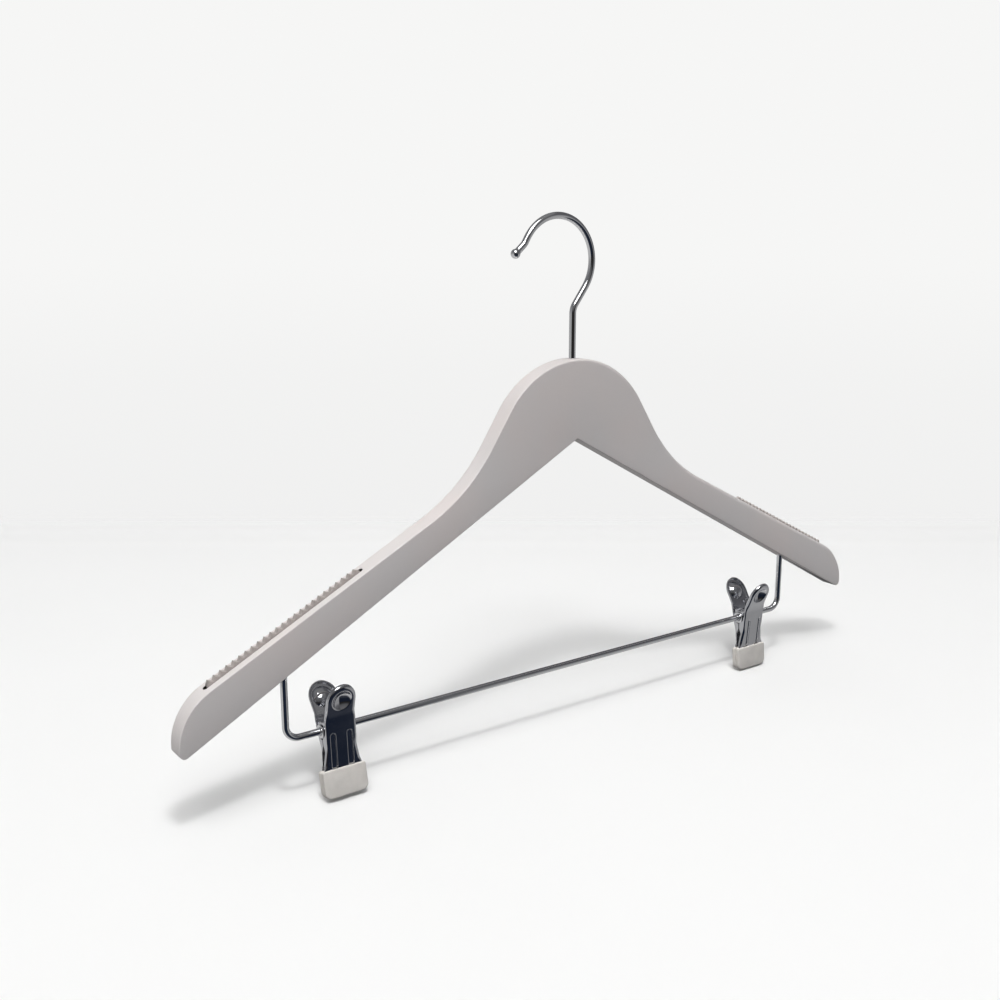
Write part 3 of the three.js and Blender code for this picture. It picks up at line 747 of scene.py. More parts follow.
def strip_heights(grips):
    """Places along a strip with the height of its teeth there, from one end to the other."""
    half = strip_half(grips)
    heights = [(-half, STRIP_EASE)]
    for tooth in range(grips.tooth_count):
        middle = (tooth + 0.5) * grips.tooth_pitch - half
        rises = [(0, TIP_WEAR)]
        if tooth < grips.tooth_count - 1:
            rises += [(share, abs(2 * share - 1) ** VALLEY_POWER) for share in SCALLOP]
        for share, rise in rises:
            height = grips.tooth_valley + grips.tooth_height * rise
            heights.append((middle + share * grips.tooth_pitch, height))
    return [*heights, (half, STRIP_EASE)]


def strip_mesh(grips):
    """A strip as a row of cross-sections, each a bar with eased top edges as high as its tooth."""
    half = grips.width / 2
    rings = []
    for x, height in strip_heights(grips):
        near = [Vector((x, inset - half, height - drop)) for inset, drop in quarter_round(STRIP_EASE, 4)]
        far = [Vector((x, -point.y, point.z)) for point in near]
        foot = [Vector((x, side * half, -grips.sink)) for side in (-1, 1)]
        rings.append([*far, foot[1], foot[0], *reversed(near)])
    return capped(rings)


class HANGER_OT_grip_strips(bpy.types.Operator):
    """Build the toothed rubber strips in the arms' top edges"""

    bl_idname = "hanger.grip_strips"
    bl_label = "Grip strips"

    def execute(self, context):
        arms = context.scene.hanger_arms
        grips = context.scene.hanger_grips
        finish = rubber("taupe_rubber", grips.rubber, roughness=0.78, fleck=2600)
        for name, side in SIDES.items():
            strip = new_object(f"{name}_toothed_strip", strip_mesh(grips), slot_place(arms, grips, side))
            smooth(strip.data, TOOTH_CREASE)
            dress(strip, finish, "frame", f"{name}_grip_strip")
        return {"FINISHED"}


# Hook, hook cap and bar


WIRE_STEP = math.radians(3)
WIRE_SIDES = 40


def bent_wire(x, z, heading, bends):
    """Stations (x, z, heading) of a wire; each bend is a straight run, then a turn at a radius."""
    stations = [(x, z, heading)]
    for run, turn, radius in bends:
        if run:
            x += run * math.cos(heading)
            z += run * math.sin(heading)
            stations.append((x, z, heading))
        side = math.copysign(1, turn)
        centre_x = x - side * radius * math.sin(heading)
        centre_z = z + side * radius * math.cos(heading)
        pieces = math.ceil(abs(turn) / WIRE_STEP)
        for _ in range(pieces):
            heading += turn / pieces
            x = centre_x + side * radius * math.sin(heading)
            z = centre_z - side * radius * math.cos(heading)
            stations.append((x, z, heading))
    return stations


def along(station, distance):
    """A station moved on along its own heading."""
    x, z, heading = station
    return x + distance * math.cos(heading), z + distance * math.sin(heading), heading


def wire_mesh(stations):
    """A round wire through (station, radius) pairs."""
    rings = []
    for (x, z, heading), radius in stations:
        across = Vector((-math.sin(heading), 0, math.cos(heading)))
        rings.append(circle(Vector((x, 0, z)), across, Vector((0, 1, 0)), radius, WIRE_SIDES))
    return capped(rings)


# The wire swells a little where the ball is formed on it, and the ball ends just short of a point.
WIRE_CHAMFER = 0.5 * MM
SWELL_START = 1.05
SWELL_GAP = 0.12 * MM
SWELL = 1.015
BALL_START = 1.12
BALL_END = math.pi - 0.02
BALL_STEPS = 20
CAP_FLOOR = 1 * MM
CAP_TOP_GAP = 0.3 * MM
CAP_EASE = 0.6 * MM
CAP_SIDES = 40
SOCKET_SPARE = 0.1 * MM
PIT_DEPTH = 0.5 * MM
PIT_CORE = 0.6 * MM
PIT_FLOOR = 1.0 * MM
PIT_MOUTH = 1.4 * MM


def cap_top(arms):
    """Top of the hook's cap, from the top of the neck."""
    return COUNTERBORE - arms.apex_drop - CAP_TOP_GAP


def hook_stations(arms, wires):
    """The hook's wire from its lower end to the ball, each station with the wire's radius."""
    radius = wires.hook_wire / 2
    foot = cap_top(arms) - CAP_HEIGHT + CAP_FLOOR + CAP_TOP_GAP
    path = bent_wire(0, foot, math.pi / 2, [
        (wires.stem_rise - foot, -wires.neck_lean, wires.neck_bend),
        (wires.neck_run, wires.crown_sweep, wires.crown_radius),
        (wires.tail_lead, -wires.tail_flare, wires.tail_bend),
    ])
    stations = [(path[0], radius - WIRE_CHAMFER), (along(path[0], WIRE_CHAMFER), radius)]
    stations += [(station, radius) for station in path[1:]]
    ball = wires.ball / 2
    middle = along(path[-1], wires.tail_run)
    neck = math.asin(radius / ball)
    stations.append((along(middle, -ball * SWELL_START), radius))
    stations.append((along(middle, -ball * math.cos(neck) - SWELL_GAP), radius * SWELL))
    start = neck * BALL_START
    for piece in range(BALL_STEPS + 1):
        turn = start + (BALL_END - start) * piece / BALL_STEPS
        stations.append((along(middle, -ball * math.cos(turn)), ball * math.sin(turn)))
    return stations


def cap_profile(arms, wires):
    """The cap's half section as (height, radius) points, from the pit under it round to its socket."""
    top = cap_top(arms)
    bottom = top - CAP_HEIGHT
    socket = wires.hook_wire / 2 + SOCKET_SPARE
    ease = quarter_round(CAP_EASE, 4)
    profile = [(bottom + PIT_DEPTH, PIT_CORE), (bottom + PIT_DEPTH, PIT_FLOOR), (bottom, PIT_MOUTH)]
    profile += [(bottom + drop, CAP_RADIUS - inset) for inset, drop in ease]
    profile += [(top - drop, CAP_RADIUS - inset) for inset, drop in reversed(ease)]
    profile += [(top, socket), (bottom + CAP_FLOOR, socket), (bottom + CAP_FLOOR, PIT_CORE)]
    return profile


class HANGER_OT_hook(bpy.types.Operator):
    """Build the swivel hook with its ball tip, and the cap on its lower end"""

    bl_idname = "hanger.hook"
    bl_label = "Swivel hook"

    def execute(self, context):
        arms = context.scene.hanger_arms
        wires = context.scene.hanger_wires
        clips = context.scene.hanger_clips
        place = Matrix.Translation(NECK_TOP)
        hook = new_object("chrome_hook", wire_mesh(hook_stations(arms, wires)), place)
        smooth(hook.data)
        chrome = plated("hook_chrome", wires.chrome, roughness=0.055, scuff=0.07)
        dress(hook, chrome, "hook", "swivel_hook")
        cap = new_object("hook_cap", turned(cap_profile(arms, wires), "Z", CAP_SIDES), place)
        smooth(cap.data)
        steel = plated("cap_steel", clips.spring_steel, roughness=0.28, scuff=0.12)
        dress(cap, steel, "hook", "hook_retainer")
        return {"FINISHED"}


class HANGER_OT_bar(bpy.types.Operator):
    """Build the bent wire bar with its two legs"""

    bl_idname = "hanger.bar"
    bl_label = "Trouser bar"

    def execute(self, context):
        arms = context.scene.hanger_arms
        wires = context.scene.hanger_wires
        radius = wires.bar_wire / 2
        top = underside(arms, wires.leg_x) + wires.leg_insert
        drop = top + BAR_DROP - wires.leg_bend
        path = bent_wire(-wires.leg_x, top, -math.pi / 2, [
            (drop, math.pi / 2, wires.leg_bend),
            (2 * (wires.leg_x - wires.leg_bend), math.pi / 2, wires.leg_bend),
            (drop, 0, 0),
        ])
        stations = [(path[0], radius - WIRE_CHAMFER), (along(path[0], WIRE_CHAMFER), radius)]
        stations += [(station, radius) for station in path[1:-1]]
        stations += [(along(path[-1], -WIRE_CHAMFER), radius), (path[-1], radius - WIRE_CHAMFER)]
        bar = new_object("chrome_bar", wire_mesh(stations), Matrix.Translation(NECK_TOP))
        smooth(bar.data)
        chrome = plated("bar_chrome", wires.chrome, roughness=0.06, scuff=0.08)
        dress(bar, chrome, "frame", "trouser_bar")
        return {"FINISHED"}


# Clip jaws


# The lists of bends and rims give (height, size) levels, highest first; arcs give angles in degrees.
PLATE_IN_BOOT = 1.9 * MM
PLATE_DROP = 31 * MM
PLATE_ARC_STEP = math.radians(4)
FOLD_SPREAD = 2.2 * MM
BEND_RADIUS = [(8 * MM, 1.4 * MM), (4.6 * MM, 0.85 * MM), (-5 * MM, 0.85 * MM),
               (-9 * MM, 1.5 * MM), (-16 * MM, 1.5 * MM), (-18.6 * MM, 0.5 * MM)]
RIM_DEPTH = [(7.2 * MM, 2.0 * MM), (3 * MM, 1.0 * MM), (-6 * MM, 1.0 * MM),
             (-10 * MM, 1.7 * MM), (-16 * MM, 1.65 * MM), (-18.6 * MM, 0.95 * MM)]
HEAD_FOOT = 7.5 * MM
EAR_TOP = 4.2 * MM
EAR_FOOT = -9 * MM
PLATE_FOOT_HALF = 9.5 * MM
LUG_RADIUS = 3.75 * MM
LUG_ROOT = 4.6 * MM
LUG_ROOT_DEPTH = 1.0 * MM
LUG_ARC = (90, -90)
EAR_CLEAR = 4.05 * MM
FLANGE_TOP = 0.6 * MM
FLANGE_TOP_DEPTH = 0.92 * MM
FLANGE_DROP = 7.3 * MM
FLANGE_ROOT = 10.5 * MM
FLANGE_ROOT_DEPTH = 1.65 * MM
FLANGE_ARC = (186, 262)
MID_GAP = 0.3 * MM
PIVOT_HOLE = 2.7 * MM
PIVOT_HOLE_SIDES = 48
PIVOT_HOLE_REACH = 20 * MM
INNER_EAR_ENDS = (-6.5 * MM, 4.5 * MM)
INNER_EAR_SINK = 0.4
INNER_EAR_SPOKES = 72
PARALLEL = 1e-12
END_SLACK = 1e-6
SHEET_EASE = 0.14 * MM
SHEET_EASE_FROM = math.radians(60)
DIMPLE_CREASE = 0.3 * MM
GROOVE_WALL = 0.5 * MM

# The walls stand where the outline is wider than a share of the ears' half width, and their skin is
# laid in shares of the way to the free edge.
WALL_FROM = 0.8
WALL_SHARES = (1.0, 0.66, 0.33)

# Where the plate's points lie, in millimetres: rings round the dimple, steps in from a groove's rim,
# and columns on both sides of the middle, some of them only above the grooves.
DIMPLE_RINGS = (0.6, 1.2, 1.8, 2.4, 3.0, 3.6, 4.15, 4.6, 4.9, 5.1, 5.25, 5.4, 5.6)
GROOVE_STEPS = (-0.25, -0.06, 0, 0.07, 0.14, 0.21, 0.28, 0.35, 0.42, 0.5, 0.6, 0.9, 1.3)
COLUMNS = (0, 0.5, 1.0, 1.5, 2.0, 6.8, 7.2, 7.6, 8.0, 8.4)
HEAD_COLUMNS = (2.6, 3.2, 3.8, 4.4, 5.0, 5.6, 6.2)

# How close they lie: for a ring the fewest points and the points to each millimetre of radius,
# then the distances between rows and along the outline, and from one pattern to the next.
RING_POINTS = (10, 11)
GROOVE_END_POINTS = (6, 14)
GRID = 0.45 * MM
OUTLINE_STEP = 0.42 * MM
OUTLINE_MARGIN = 0.22 * MM
DIMPLE_MARGIN = 0.55 * MM
BELOW_GROOVE_END = 0.2 * MM
ABOVE_GROOVE = 0.5 * MM

# Settings of the triangulation: keep what lies inside the border, and merge points this close.
INSIDE_ONLY = 1
MERGE = 1e-5


class Plate:
    """The pressed plate of a front jaw, standing at -Y of the bar."""

    def __init__(self, clips):
        self.clips = clips
        self.lower = math.tan(clips.lower_lean)
        self.handle = math.tan(clips.handle_lean)
        at_bar = -clips.plate_offset / math.cos(clips.lower_lean)
        self.ankle = (at_bar + PLATE_IN_BOOT) / self.lower
        self.dish = (clips.dimple_radius ** 2 + clips.dimple_depth ** 2) / (2 * clips.dimple_depth)

    def y(self, z):
        """Outer face at a height, folded at the ankle and at the knee."""
        fold = self.lower * soft_ramp(z - self.ankle, FOLD_SPREAD)
        knee = (self.handle - self.lower) * soft_ramp(z - self.clips.knee_rise, FOLD_SPREAD)
        return -PLATE_IN_BOOT - fold - knee

    def at(self, x, z, depth):
        """A point at a depth inwards from the outer face, square to it."""
        tiny = 0.01 * MM
        slope = (self.y(z + tiny) - self.y(z - tiny)) / (2 * tiny)
        square = depth / math.hypot(1, slope)
        return Vector((x, self.y(z) + square, z - slope * square))

    def pressed(self, x, z):
        """Depth of the thumb dimple and the two grooves."""
        clips = self.clips
        rise = (z - clips.dimple_height) / math.cos(clips.handle_lean)
        out = math.hypot(x, rise)
        dish = math.sqrt(max(0, self.dish ** 2 - out ** 2)) - (self.dish - clips.dimple_depth)
        depth = soft_ramp(dish, DIMPLE_CREASE)
        half = clips.groove_width / 2
        above = max(0, z - (clips.groove_top - half))
        off = half - math.hypot(abs(x) - clips.groove_x, above)
        return depth + clips.groove_depth * soft_step(off, 0, GROOVE_WALL)

    def outline(self):
        """Outline of the plate in (x, z), clockwise from the right of the head."""
        clips = self.clips
        head = clips.head_half
        right = [
            (head, clips.head_top, head),
            (head, HEAD_FOOT, 8 * MM),
            (clips.ear_half, EAR_TOP, 5 * MM),
            (clips.ear_half, EAR_FOOT, 9 * MM),
            (clips.flare_half, -clips.boot_top, 3 * MM),
            (PLATE_FOOT_HALF, -PLATE_DROP, 1.5 * MM),
        ]
        rounded = rounded_outline([*right, *mirrored(right)], PLATE_ARC_STEP)
        return filled_outline(rounded, OUTLINE_STEP)


def path_point(path, share):
    """A point at a share of the length of a path of (y, z) points."""
    lengths = [(after - before).length for before, after in zip(path, path[1:])]
    left = share * sum(lengths)
    for before, after, run in zip(path, path[1:], lengths):
        if left <= run:
            return before.lerp(after, left / run)
        left -= run
    return path[-1]


def arc(radius, start, end, pieces=18):
    """Points of an arc round the bar's axis in (y, z), angles in degrees."""
    turns = [math.radians(start + (end - start) * piece / pieces) for piece in range(pieces + 1)]
    return [Vector((radius * math.cos(turn), radius * math.sin(turn))) for turn in turns]


def side_walls(plate):
    """Free edges of the two side walls in (y, z): on the left the ear that carries the jaw on
    the sleeve, on the right a flange that leaves room for the other jaw's ear."""
    root = Vector((plate.y(LUG_ROOT) + LUG_ROOT_DEPTH, LUG_ROOT))
    foot = [
        Vector((-MID_GAP, -EAR_CLEAR - MID_GAP)),
        Vector((-MID_GAP, -FLANGE_DROP)),
        Vector((plate.y(-FLANGE_ROOT) + FLANGE_ROOT_DEPTH, -FLANGE_ROOT)),
    ]
    near = Vector((plate.y(FLANGE_TOP) + FLANGE_TOP_DEPTH, FLANGE_TOP))
    return {
        -1: (LUG_ROOT, [root, *arc(LUG_RADIUS, *LUG_ARC), *foot]),
        1: (FLANGE_TOP, [near, *arc(EAR_CLEAR, *FLANGE_ARC), *foot]),
    }


def wall_edge(plate, walls, x, z):
    """Where the turned-in edge of the sheet ends, beside a point of the outline."""
    top, path = walls[1 if x > 0 else -1]
    if -FLANGE_ROOT <= z <= top and abs(x) > plate.clips.ear_half * WALL_FROM:
        point = path_point(path, (top - z) / (top + FLANGE_ROOT))
        return Vector((x, point.x, point.y))
    return plate.at(x, z, by_height(z, RIM_DEPTH))


def inside(point, outline, margin):
    """True where a point lies within an outline and at least the margin away from it."""
    crossings = False
    for index, here in enumerate(outline):
        before = outline[index - 1]
        if (here - point).length < margin:
            return False
        if (here.y > point.y) != (before.y > point.y):
            across = here.x + (point.y - here.y) * (before.x - here.x) / (before.y - here.y)
            crossings ^= point.x < across
    return crossings


def ring_count(radius, fewest, density):
    """How many points a ring has, from its radius in millimetres."""
    return max(fewest, round(radius * density))


def plate_points(clips, outline):
    """Points that carry the flat part of a plate: rings round the dimple and rows elsewhere."""
    centre = Vector((0, clips.dimple_height))
    points = [centre]
    reach = clips.dimple_radius + DIMPLE_MARGIN
    squeeze = math.cos(clips.handle_lean)
    for radius in DIMPLE_RINGS:
        count = ring_count(radius, *RING_POINTS)
        for index in range(count):
            turn = 2 * math.pi * index / count
            points.append(centre + Vector((math.cos(turn), math.sin(turn) * squeeze)) * radius * MM)
    half = clips.groove_width / 2
    groove_end = clips.groove_top - half
    offsets = [half - step * MM for step in GROOVE_STEPS]
    for side in (-1, 1):
        middle = Vector((side * clips.groove_x, groove_end))
        points.append(middle)
        for offset in offsets:
            count = ring_count(offset / MM, *GROOVE_END_POINTS)
            for index in range(count + 1):
                turn = math.pi * index / count
                points.append(middle + Vector((math.cos(turn), math.sin(turn))) * offset)
    in_grooves = [clips.groove_x + offset for offset in (0, *offsets, *(-offset for offset in offsets))]
    rows = math.floor((clips.head_top + PLATE_DROP) / GRID)
    for row in range(rows):
        z = clips.head_top - (row + 0.5) * GRID
        columns = [x * MM for x in COLUMNS]
        if z < groove_end - BELOW_GROOVE_END:
            columns += in_grooves
        if z > clips.groove_top + ABOVE_GROOVE:
            columns += [x * MM for x in HEAD_COLUMNS]
        for x in {x * side for x in columns for side in (-1, 1)}:
            if math.hypot(x, (z - clips.dimple_height) / squeeze) > reach:
                points.append(Vector((x, z)))
    return [point for point in points if inside(point, outline, OUTLINE_MARGIN)]


def plate_sheet(plate):
    """The outer skin of a jaw: the pressed plate, its rounded edges and its side walls."""
    outline = plate.outline()
    mitres = inward_mitres(outline)
    walls = side_walls(plate)
    bends = [by_height(point.y, BEND_RADIUS) for point in outline]
    rings = []
    for share in WALL_SHARES:
        ring = []
        for point, bend in zip(outline, bends):
            edge = wall_edge(plate, walls, point.x, point.y)
            ring.append(plate.at(point.x, point.y, bend).lerp(edge, share))
        rings.append(ring)
    for inset, drop in reversed(quarter_round(1, 6)):
        ring = []
        for point, mitre, bend in zip(outline, mitres, bends):
            moved = point + mitre * (bend * inset)
            ring.append(plate.at(moved.x, moved.y, bend * drop))
        rings.append(ring)
    mesh = bmesh.new()
    loops = skin(mesh, rings)
    inner = [point + mitre * bend for point, mitre, bend in zip(outline, mitres, bends)]
    points = inner + plate_points(plate.clips, inner)
    border = [(index, (index + 1) % len(inner)) for index in range(len(inner))]
    scaled = [point / MM for point in points]
    made, _, faces, origins, _, _ = delaunay_2d_cdt(scaled, border, [], INSIDE_ONLY, MERGE)
    corners = []
    for point, origin in zip(made, origins):
        if origin and origin[0] < len(inner):
            corners.append(loops[-1][origin[0]])
        else:
            x, z = point * MM
            corners.append(mesh.verts.new(plate.at(x, z, plate.pressed(x, z))))
    for face in faces:
        mesh.faces.new([corners[index] for index in face])
    bmesh.ops.recalc_face_normals(mesh, faces=mesh.faces)
    mesh.normal_update()
    mesh.faces.ensure_lookup_table()
    if mesh.faces[-1].normal.y > 0:
        bmesh.ops.reverse_faces(mesh, faces=mesh.faces)
    return mesh


def inner_ear(mesh, plate):
    """The ear that is set in beside the other jaw's, with its hole for the sleeve."""
    clips = plate.clips
    sheet = clips.sheet
    outer = clips.ear_half - sheet - MID_GAP
    low, high = INNER_EAR_ENDS
    sink = sheet * INNER_EAR_SINK
    roots = [Vector((plate.y(z) + sink, z)) for z in (high, low)]
    border = [roots[0], *arc(LUG_RADIUS, *LUG_ARC), roots[1]]
    edge = []
    for index in range(INNER_EAR_SPOKES):
        turn = 2 * math.pi * index / INNER_EAR_SPOKES
        ray = Vector((math.cos(turn), math.sin(turn)))
        reach = PIVOT_HOLE
        for here, after in zip(border, border[1:] + border[:1]):
            run = after - here
            bottom = ray.cross(run)
            if abs(bottom) > PARALLEL:
                share = here.cross(ray) / bottom
                distance = here.cross(run) / bottom
                if -END_SLACK <= share <= 1 + END_SLACK and distance > reach:
                    reach = distance
        edge.append(ray * reach)
    hole = [point.normalized() * PIVOT_HOLE for point in edge]
    rings = []
    for points, x in ((hole, outer), (edge, outer), (edge, outer - sheet), (hole, outer - sheet)):
        rings.append([Vector((x, point.x, point.y)) for point in points])
    first, *_, last = skin(mesh, rings)
    for index in range(INNER_EAR_SPOKES):
        following = (index + 1) % INNER_EAR_SPOKES
        mesh.faces.new((last[index], last[following], first[following], first[index]))


def jaw_object(clips):
    """A whole jaw in its own frame: sheet, thickness, eased edges, pivot holes, inner ear."""
    plate = Plate(clips)
    mesh = plate_sheet(plate)
    data = bpy.data.meshes.new("jaw")
    mesh.to_mesh(data)
    mesh.free()
    jaw = set_down("jaw", data, Matrix.Identity(4))
    body = jaw.modifiers.new("sheet", "SOLIDIFY")
    body.thickness = clips.sheet
    body.offset = -1
    body.use_even_offset = True
    ease = jaw.modifiers.new("ease", "BEVEL")
    ease.width = SHEET_EASE
    ease.segments = 2
    ease.limit_method = "ANGLE"
    ease.angle_limit = SHEET_EASE_FROM
    settle(jaw)
    ends = [(-PIVOT_HOLE_REACH, PIVOT_HOLE), (PIVOT_HOLE_REACH, PIVOT_HOLE)]
    hole = turned(ends, "X", PIVOT_HOLE_SIDES)
    carve(jaw, [new_object("pivot_hole", hole, Matrix.Identity(4))])
    whole = bmesh.new()
    whole.from_mesh(jaw.data)
    sheet_faces = len(whole.faces)
    inner_ear(whole, plate)
    whole.faces.ensure_lookup_table()
    bmesh.ops.recalc_face_normals(whole, faces=whole.faces[sheet_faces:])
    whole.to_mesh(jaw.data)
    whole.free()
    smooth(jaw.data)
    return jaw


class HANGER_OT_jaws(bpy.types.Operator):
    """Build the four pressed steel jaws"""

    bl_idname = "hanger.jaws"
    bl_label = "Clip jaws"

    def execute(self, context):
        clips = context.scene.hanger_clips
        finish = plated("clip_plating", clips.plating, roughness=0.07, scuff=0.08)
        pattern = jaw_object(clips)
        for name, place in jaw_places():
            jaw = like(pattern, f"{name}_pressed_jaw", place)
            dress(jaw, finish, name, f"{name}_jaw")
        discard(pattern)
        return {"FINISHED"}


# Rubber boots


BOOT_PARTING = 0.15 * MM
BOOT_TOP_ROUND = 1.2 * MM
BOOT_TOE_ROUND = 3.4 * MM
BOOT_FRONT_EASE = 0.65 * MM
BOOT_BACK_EASE = 0.3 * MM
POCKET_SPARE = 0.06 * MM
POCKET_MOUTH = -10 * MM
POCKET_DEPTH = 1.0 * MM
POCKET_ROUND = 1 * MM
POCKET_EASE = 0.1 * MM
POCKET_ARC_STEP = math.radians(10)


def boot_object(clips):
    """A boot in its jaw's frame: a rounded pad with a pocket for the plate."""
    right = [
        (clips.boot_half, -clips.boot_top, BOOT_TOP_ROUND),
        (clips.boot_half, -clips.boot_bottom, BOOT_TOE_ROUND),
    ]
    outline = rounded_outline([*right, *mirrored(right)], CORNER_ARC_STEP)
    front = -BOOT_PARTING - clips.boot_thickness
    mesh = eased_slab(outline, front, -BOOT_PARTING, BOOT_FRONT_EASE, BOOT_BACK_EASE)
    boot = new_object("boot", mesh, Matrix.Identity(4))
    half = clips.flare_half + POCKET_SPARE
    right = [(half, POCKET_MOUTH, 0), (half, -PLATE_DROP - POCKET_SPARE, POCKET_ROUND)]
    outline = rounded_outline([*right, *mirrored(right)], POCKET_ARC_STEP)
    outer = -PLATE_IN_BOOT - POCKET_SPARE
    inner = -PLATE_IN_BOOT + POCKET_DEPTH
    pocket = eased_slab(outline, outer, inner, POCKET_EASE, POCKET_EASE)
    carve(boot, [new_object("pocket", pocket, Matrix.Identity(4))])
    return boot


class HANGER_OT_boots(bpy.types.Operator):
    """Build the four rubber boots"""

    bl_idname = "hanger.boots"
    bl_label = "Rubber boots"

    def execute(self, context):
        clips = context.scene.hanger_clips
        finish = rubber("pale_rubber", clips.rubber, roughness=0.62, fleck=1900)
        pattern = boot_object(clips)
        for name, place in jaw_places():
            boot = like(pattern, f"{name}_rubber_boot", place)
            dress(boot, finish, name, f"{name}_tip")
        discard(pattern)
        return {"FINISHED"}


# Pivot sleeves and springs


# Half of a sleeve's section in millimetres, as (place along the bar, radius) points.
SLEEVE_HALF = [
    (0, 1.82), (8.2, 1.82), (8.55, 1.9), (8.8, 2.1), (8.93, 2.4), (8.95, 2.75), (8.9, 3.1),
    (8.78, 3.3), (8.62, 3.4), (8.5, 3.33), (8.46, 3.1), (8.46, 2.6), (8.4, 2.42), (8.2, 2.4),
]
SLEEVE_SIDES = 56


class HANGER_OT_sleeves(bpy.types.Operator):
    """Build the rolled sleeves that carry the clips on the bar"""

    bl_idname = "hanger.sleeves"
    bl_label = "Pivot sleeves"

    def execute(self, context):
        wires = context.scene.hanger_wires
        finish = plated("sleeve_chrome", wires.chrome, roughness=0.07, scuff=0.08)
        half = [(x * MM, radius * MM) for x, radius in SLEEVE_HALF]
        profile = half + [(-x, radius) for x, radius in reversed(half[1:])]
        for side in SIDES:
            mesh = turned(profile, "X", SLEEVE_SIDES, closed=True)
            sleeve = new_object(f"{side}_rolled_sleeve", mesh, clip_place(side))
            smooth(sleeve.data)
            dress(sleeve, finish, f"{side}_slider", f"{side}_pivot_sleeve")
        return {"FINISHED"}


SPRING_TURNS = 5
SPRING_PITCH = 1.6 * MM
SPRING_LEG = 9.5 * MM
SPRING_LEG_LEAN = math.radians(14)
COIL_START = math.pi + SPRING_LEG_LEAN
COIL_TURN = math.pi - 2 * SPRING_LEG_LEAN + 2 * math.pi * SPRING_TURNS
COIL_LENGTH = COIL_TURN / (2 * math.pi) * SPRING_PITCH
SPRING_STEPS = 110
SPRING_SIDES = 14


def coil_station(radius, share):
    """Point, heading and outward direction at a share of the coil."""
    turn = COIL_START + share * COIL_TURN
    outward = Vector((0, math.cos(turn), math.sin(turn)))
    rise = SPRING_PITCH / (2 * math.pi * radius)
    heading = Vector((rise, -math.sin(turn), math.cos(turn))).normalized()
    return Vector(((share - 0.5) * COIL_LENGTH, 0, 0)) + outward * radius, heading, outward


def spring_half(clips, from_front):
    """One half of a spring: half of the coil and the leg that lies on a handle."""
    shares = [0.5 * step / SPRING_STEPS for step in range(SPRING_STEPS + 1)]
    stations = [coil_station(clips.spring_radius, share) for share in shares]
    root, heading, outward = stations[0]
    flat = Vector((0, heading.y, heading.z)).normalized()
    wire = clips.spring_wire
    leg = [(root - flat * reach, flat, outward) for reach in (SPRING_LEG, SPRING_LEG * 0.5, wire)]
    rings = []
    for point, heading, outward in leg + stations:
        across = heading.cross(outward).normalized()
        rings.append(circle(point, outward, across, wire / 2, SPRING_SIDES))
    mesh = capped(rings)
    if not from_front:
        bmesh.ops.transform(mesh, matrix=HALF_TURN, verts=mesh.verts)
    return mesh


class HANGER_OT_springs(bpy.types.Operator):
    """Build each spring as two halves, each with the leg that lies on one jaw's handle"""

    bl_idname = "hanger.springs"
    bl_label = "Springs"

    def execute(self, context):
        clips = context.scene.hanger_clips
        finish = plated("spring_steel", clips.spring_steel, roughness=0.25, scuff=0.12)
        for side in SIDES:
            for end, reach in (("front", -1), ("back", 1)):
                mesh = spring_half(clips, end == "front")
                half = new_object(f"{side}_spring_{end}", mesh, clip_place(side))
                smooth(half.data)
                half.data.materials.append(finish)
                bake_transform(half)
                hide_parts(f"{side}_spring")
        return {"FINISHED"}


# Stage


FLOOR_Z = -0.2709
FLOOR_DEEP = 0.52
FLOOR_WIDE = 1.56
FLOOR_FADE_FROM = 0.37
FLOOR_FADE_TO = 0.50
CAMERA_PLACE = Vector((-0.381221, -0.475409, -0.002680))
CAMERA_TURN = (math.radians(76.944), 0, math.radians(-36.007))
CAMERA_SENSOR = 36
SHADY_SIDE = (0.34, -0.94, 0)
LAMP_PLACE = Vector((-0.292, -0.423, 0.671))
LAMP_SIZE = 0.12
LAMP_AIM_RISE = 0.05
PANEL_FAR = 4.0
PANEL_SIZE = 2.4


def floor_finish(tone):
    """A pale floor that fades into the backdrop at its edges."""
    finish = Finish("pale_floor")
    finish.put("Roughness", 0.9)
    finish.put("Specular IOR Level", 0.1)
    finish.drift("Base Color", finish.noise(6, 2), shaded(tone, 0.995), shaded(tone, 1.005))
    place = finish.stretched((FLOOR_DEEP / FLOOR_WIDE, 1, 1))
    sizes = finish.add("VectorMath", {0: place}, operation="ABSOLUTE")
    split = finish.add("SeparateXYZ", {0: sizes.outputs[0]}).outputs
    reach = finish.add("Math", {0: split["X"], 1: split["Y"]}, operation="MAXIMUM").outputs["Value"]
    finish.put("Alpha", finish.faded(reach, FLOOR_FADE_FROM, FLOOR_FADE_TO, start=1, end=0))
    return finish.material


class StudioLight(NodeWork):
    """The studio round the hanger: what the camera, soft surfaces and bright metal see."""

    def __init__(self, world):
        world.use_nodes = True
        super().__init__(world.node_tree)
        self.tree.nodes.clear()
        self.around = self.add("TexCoord", {}).outputs["Generated"]
        self.height = self.add("SeparateXYZ", {0: self.around}).outputs["Z"]
        self.path = self.add("LightPath", {}).outputs

    def towards(self, direction, low, high):
        """How far a ray heads in a direction, from 0 at the low cosine to 1 at the high one."""
        heading = self.add("VectorMath", {0: self.around, 1: direction}, operation="DOT_PRODUCT")
        return self.faded(heading.outputs["Value"], low, high)

    def bands(self, stops):
        """Colours by height, from (sine of the elevation, colour) stops."""
        spread = self.add("MapRange", {"Value": self.height, "From Min": -1})
        stops = [((height + 1) / 2, tone) for height, tone in stops]
        return self.ramp(spread.outputs["Result"], stops)

    def shine(self, tone):
        """Sends the colours out into the scene."""
        background = self.add("Background", {"Color": tone})
        self.add("OutputWorld", {"Surface": background.outputs["Background"]})


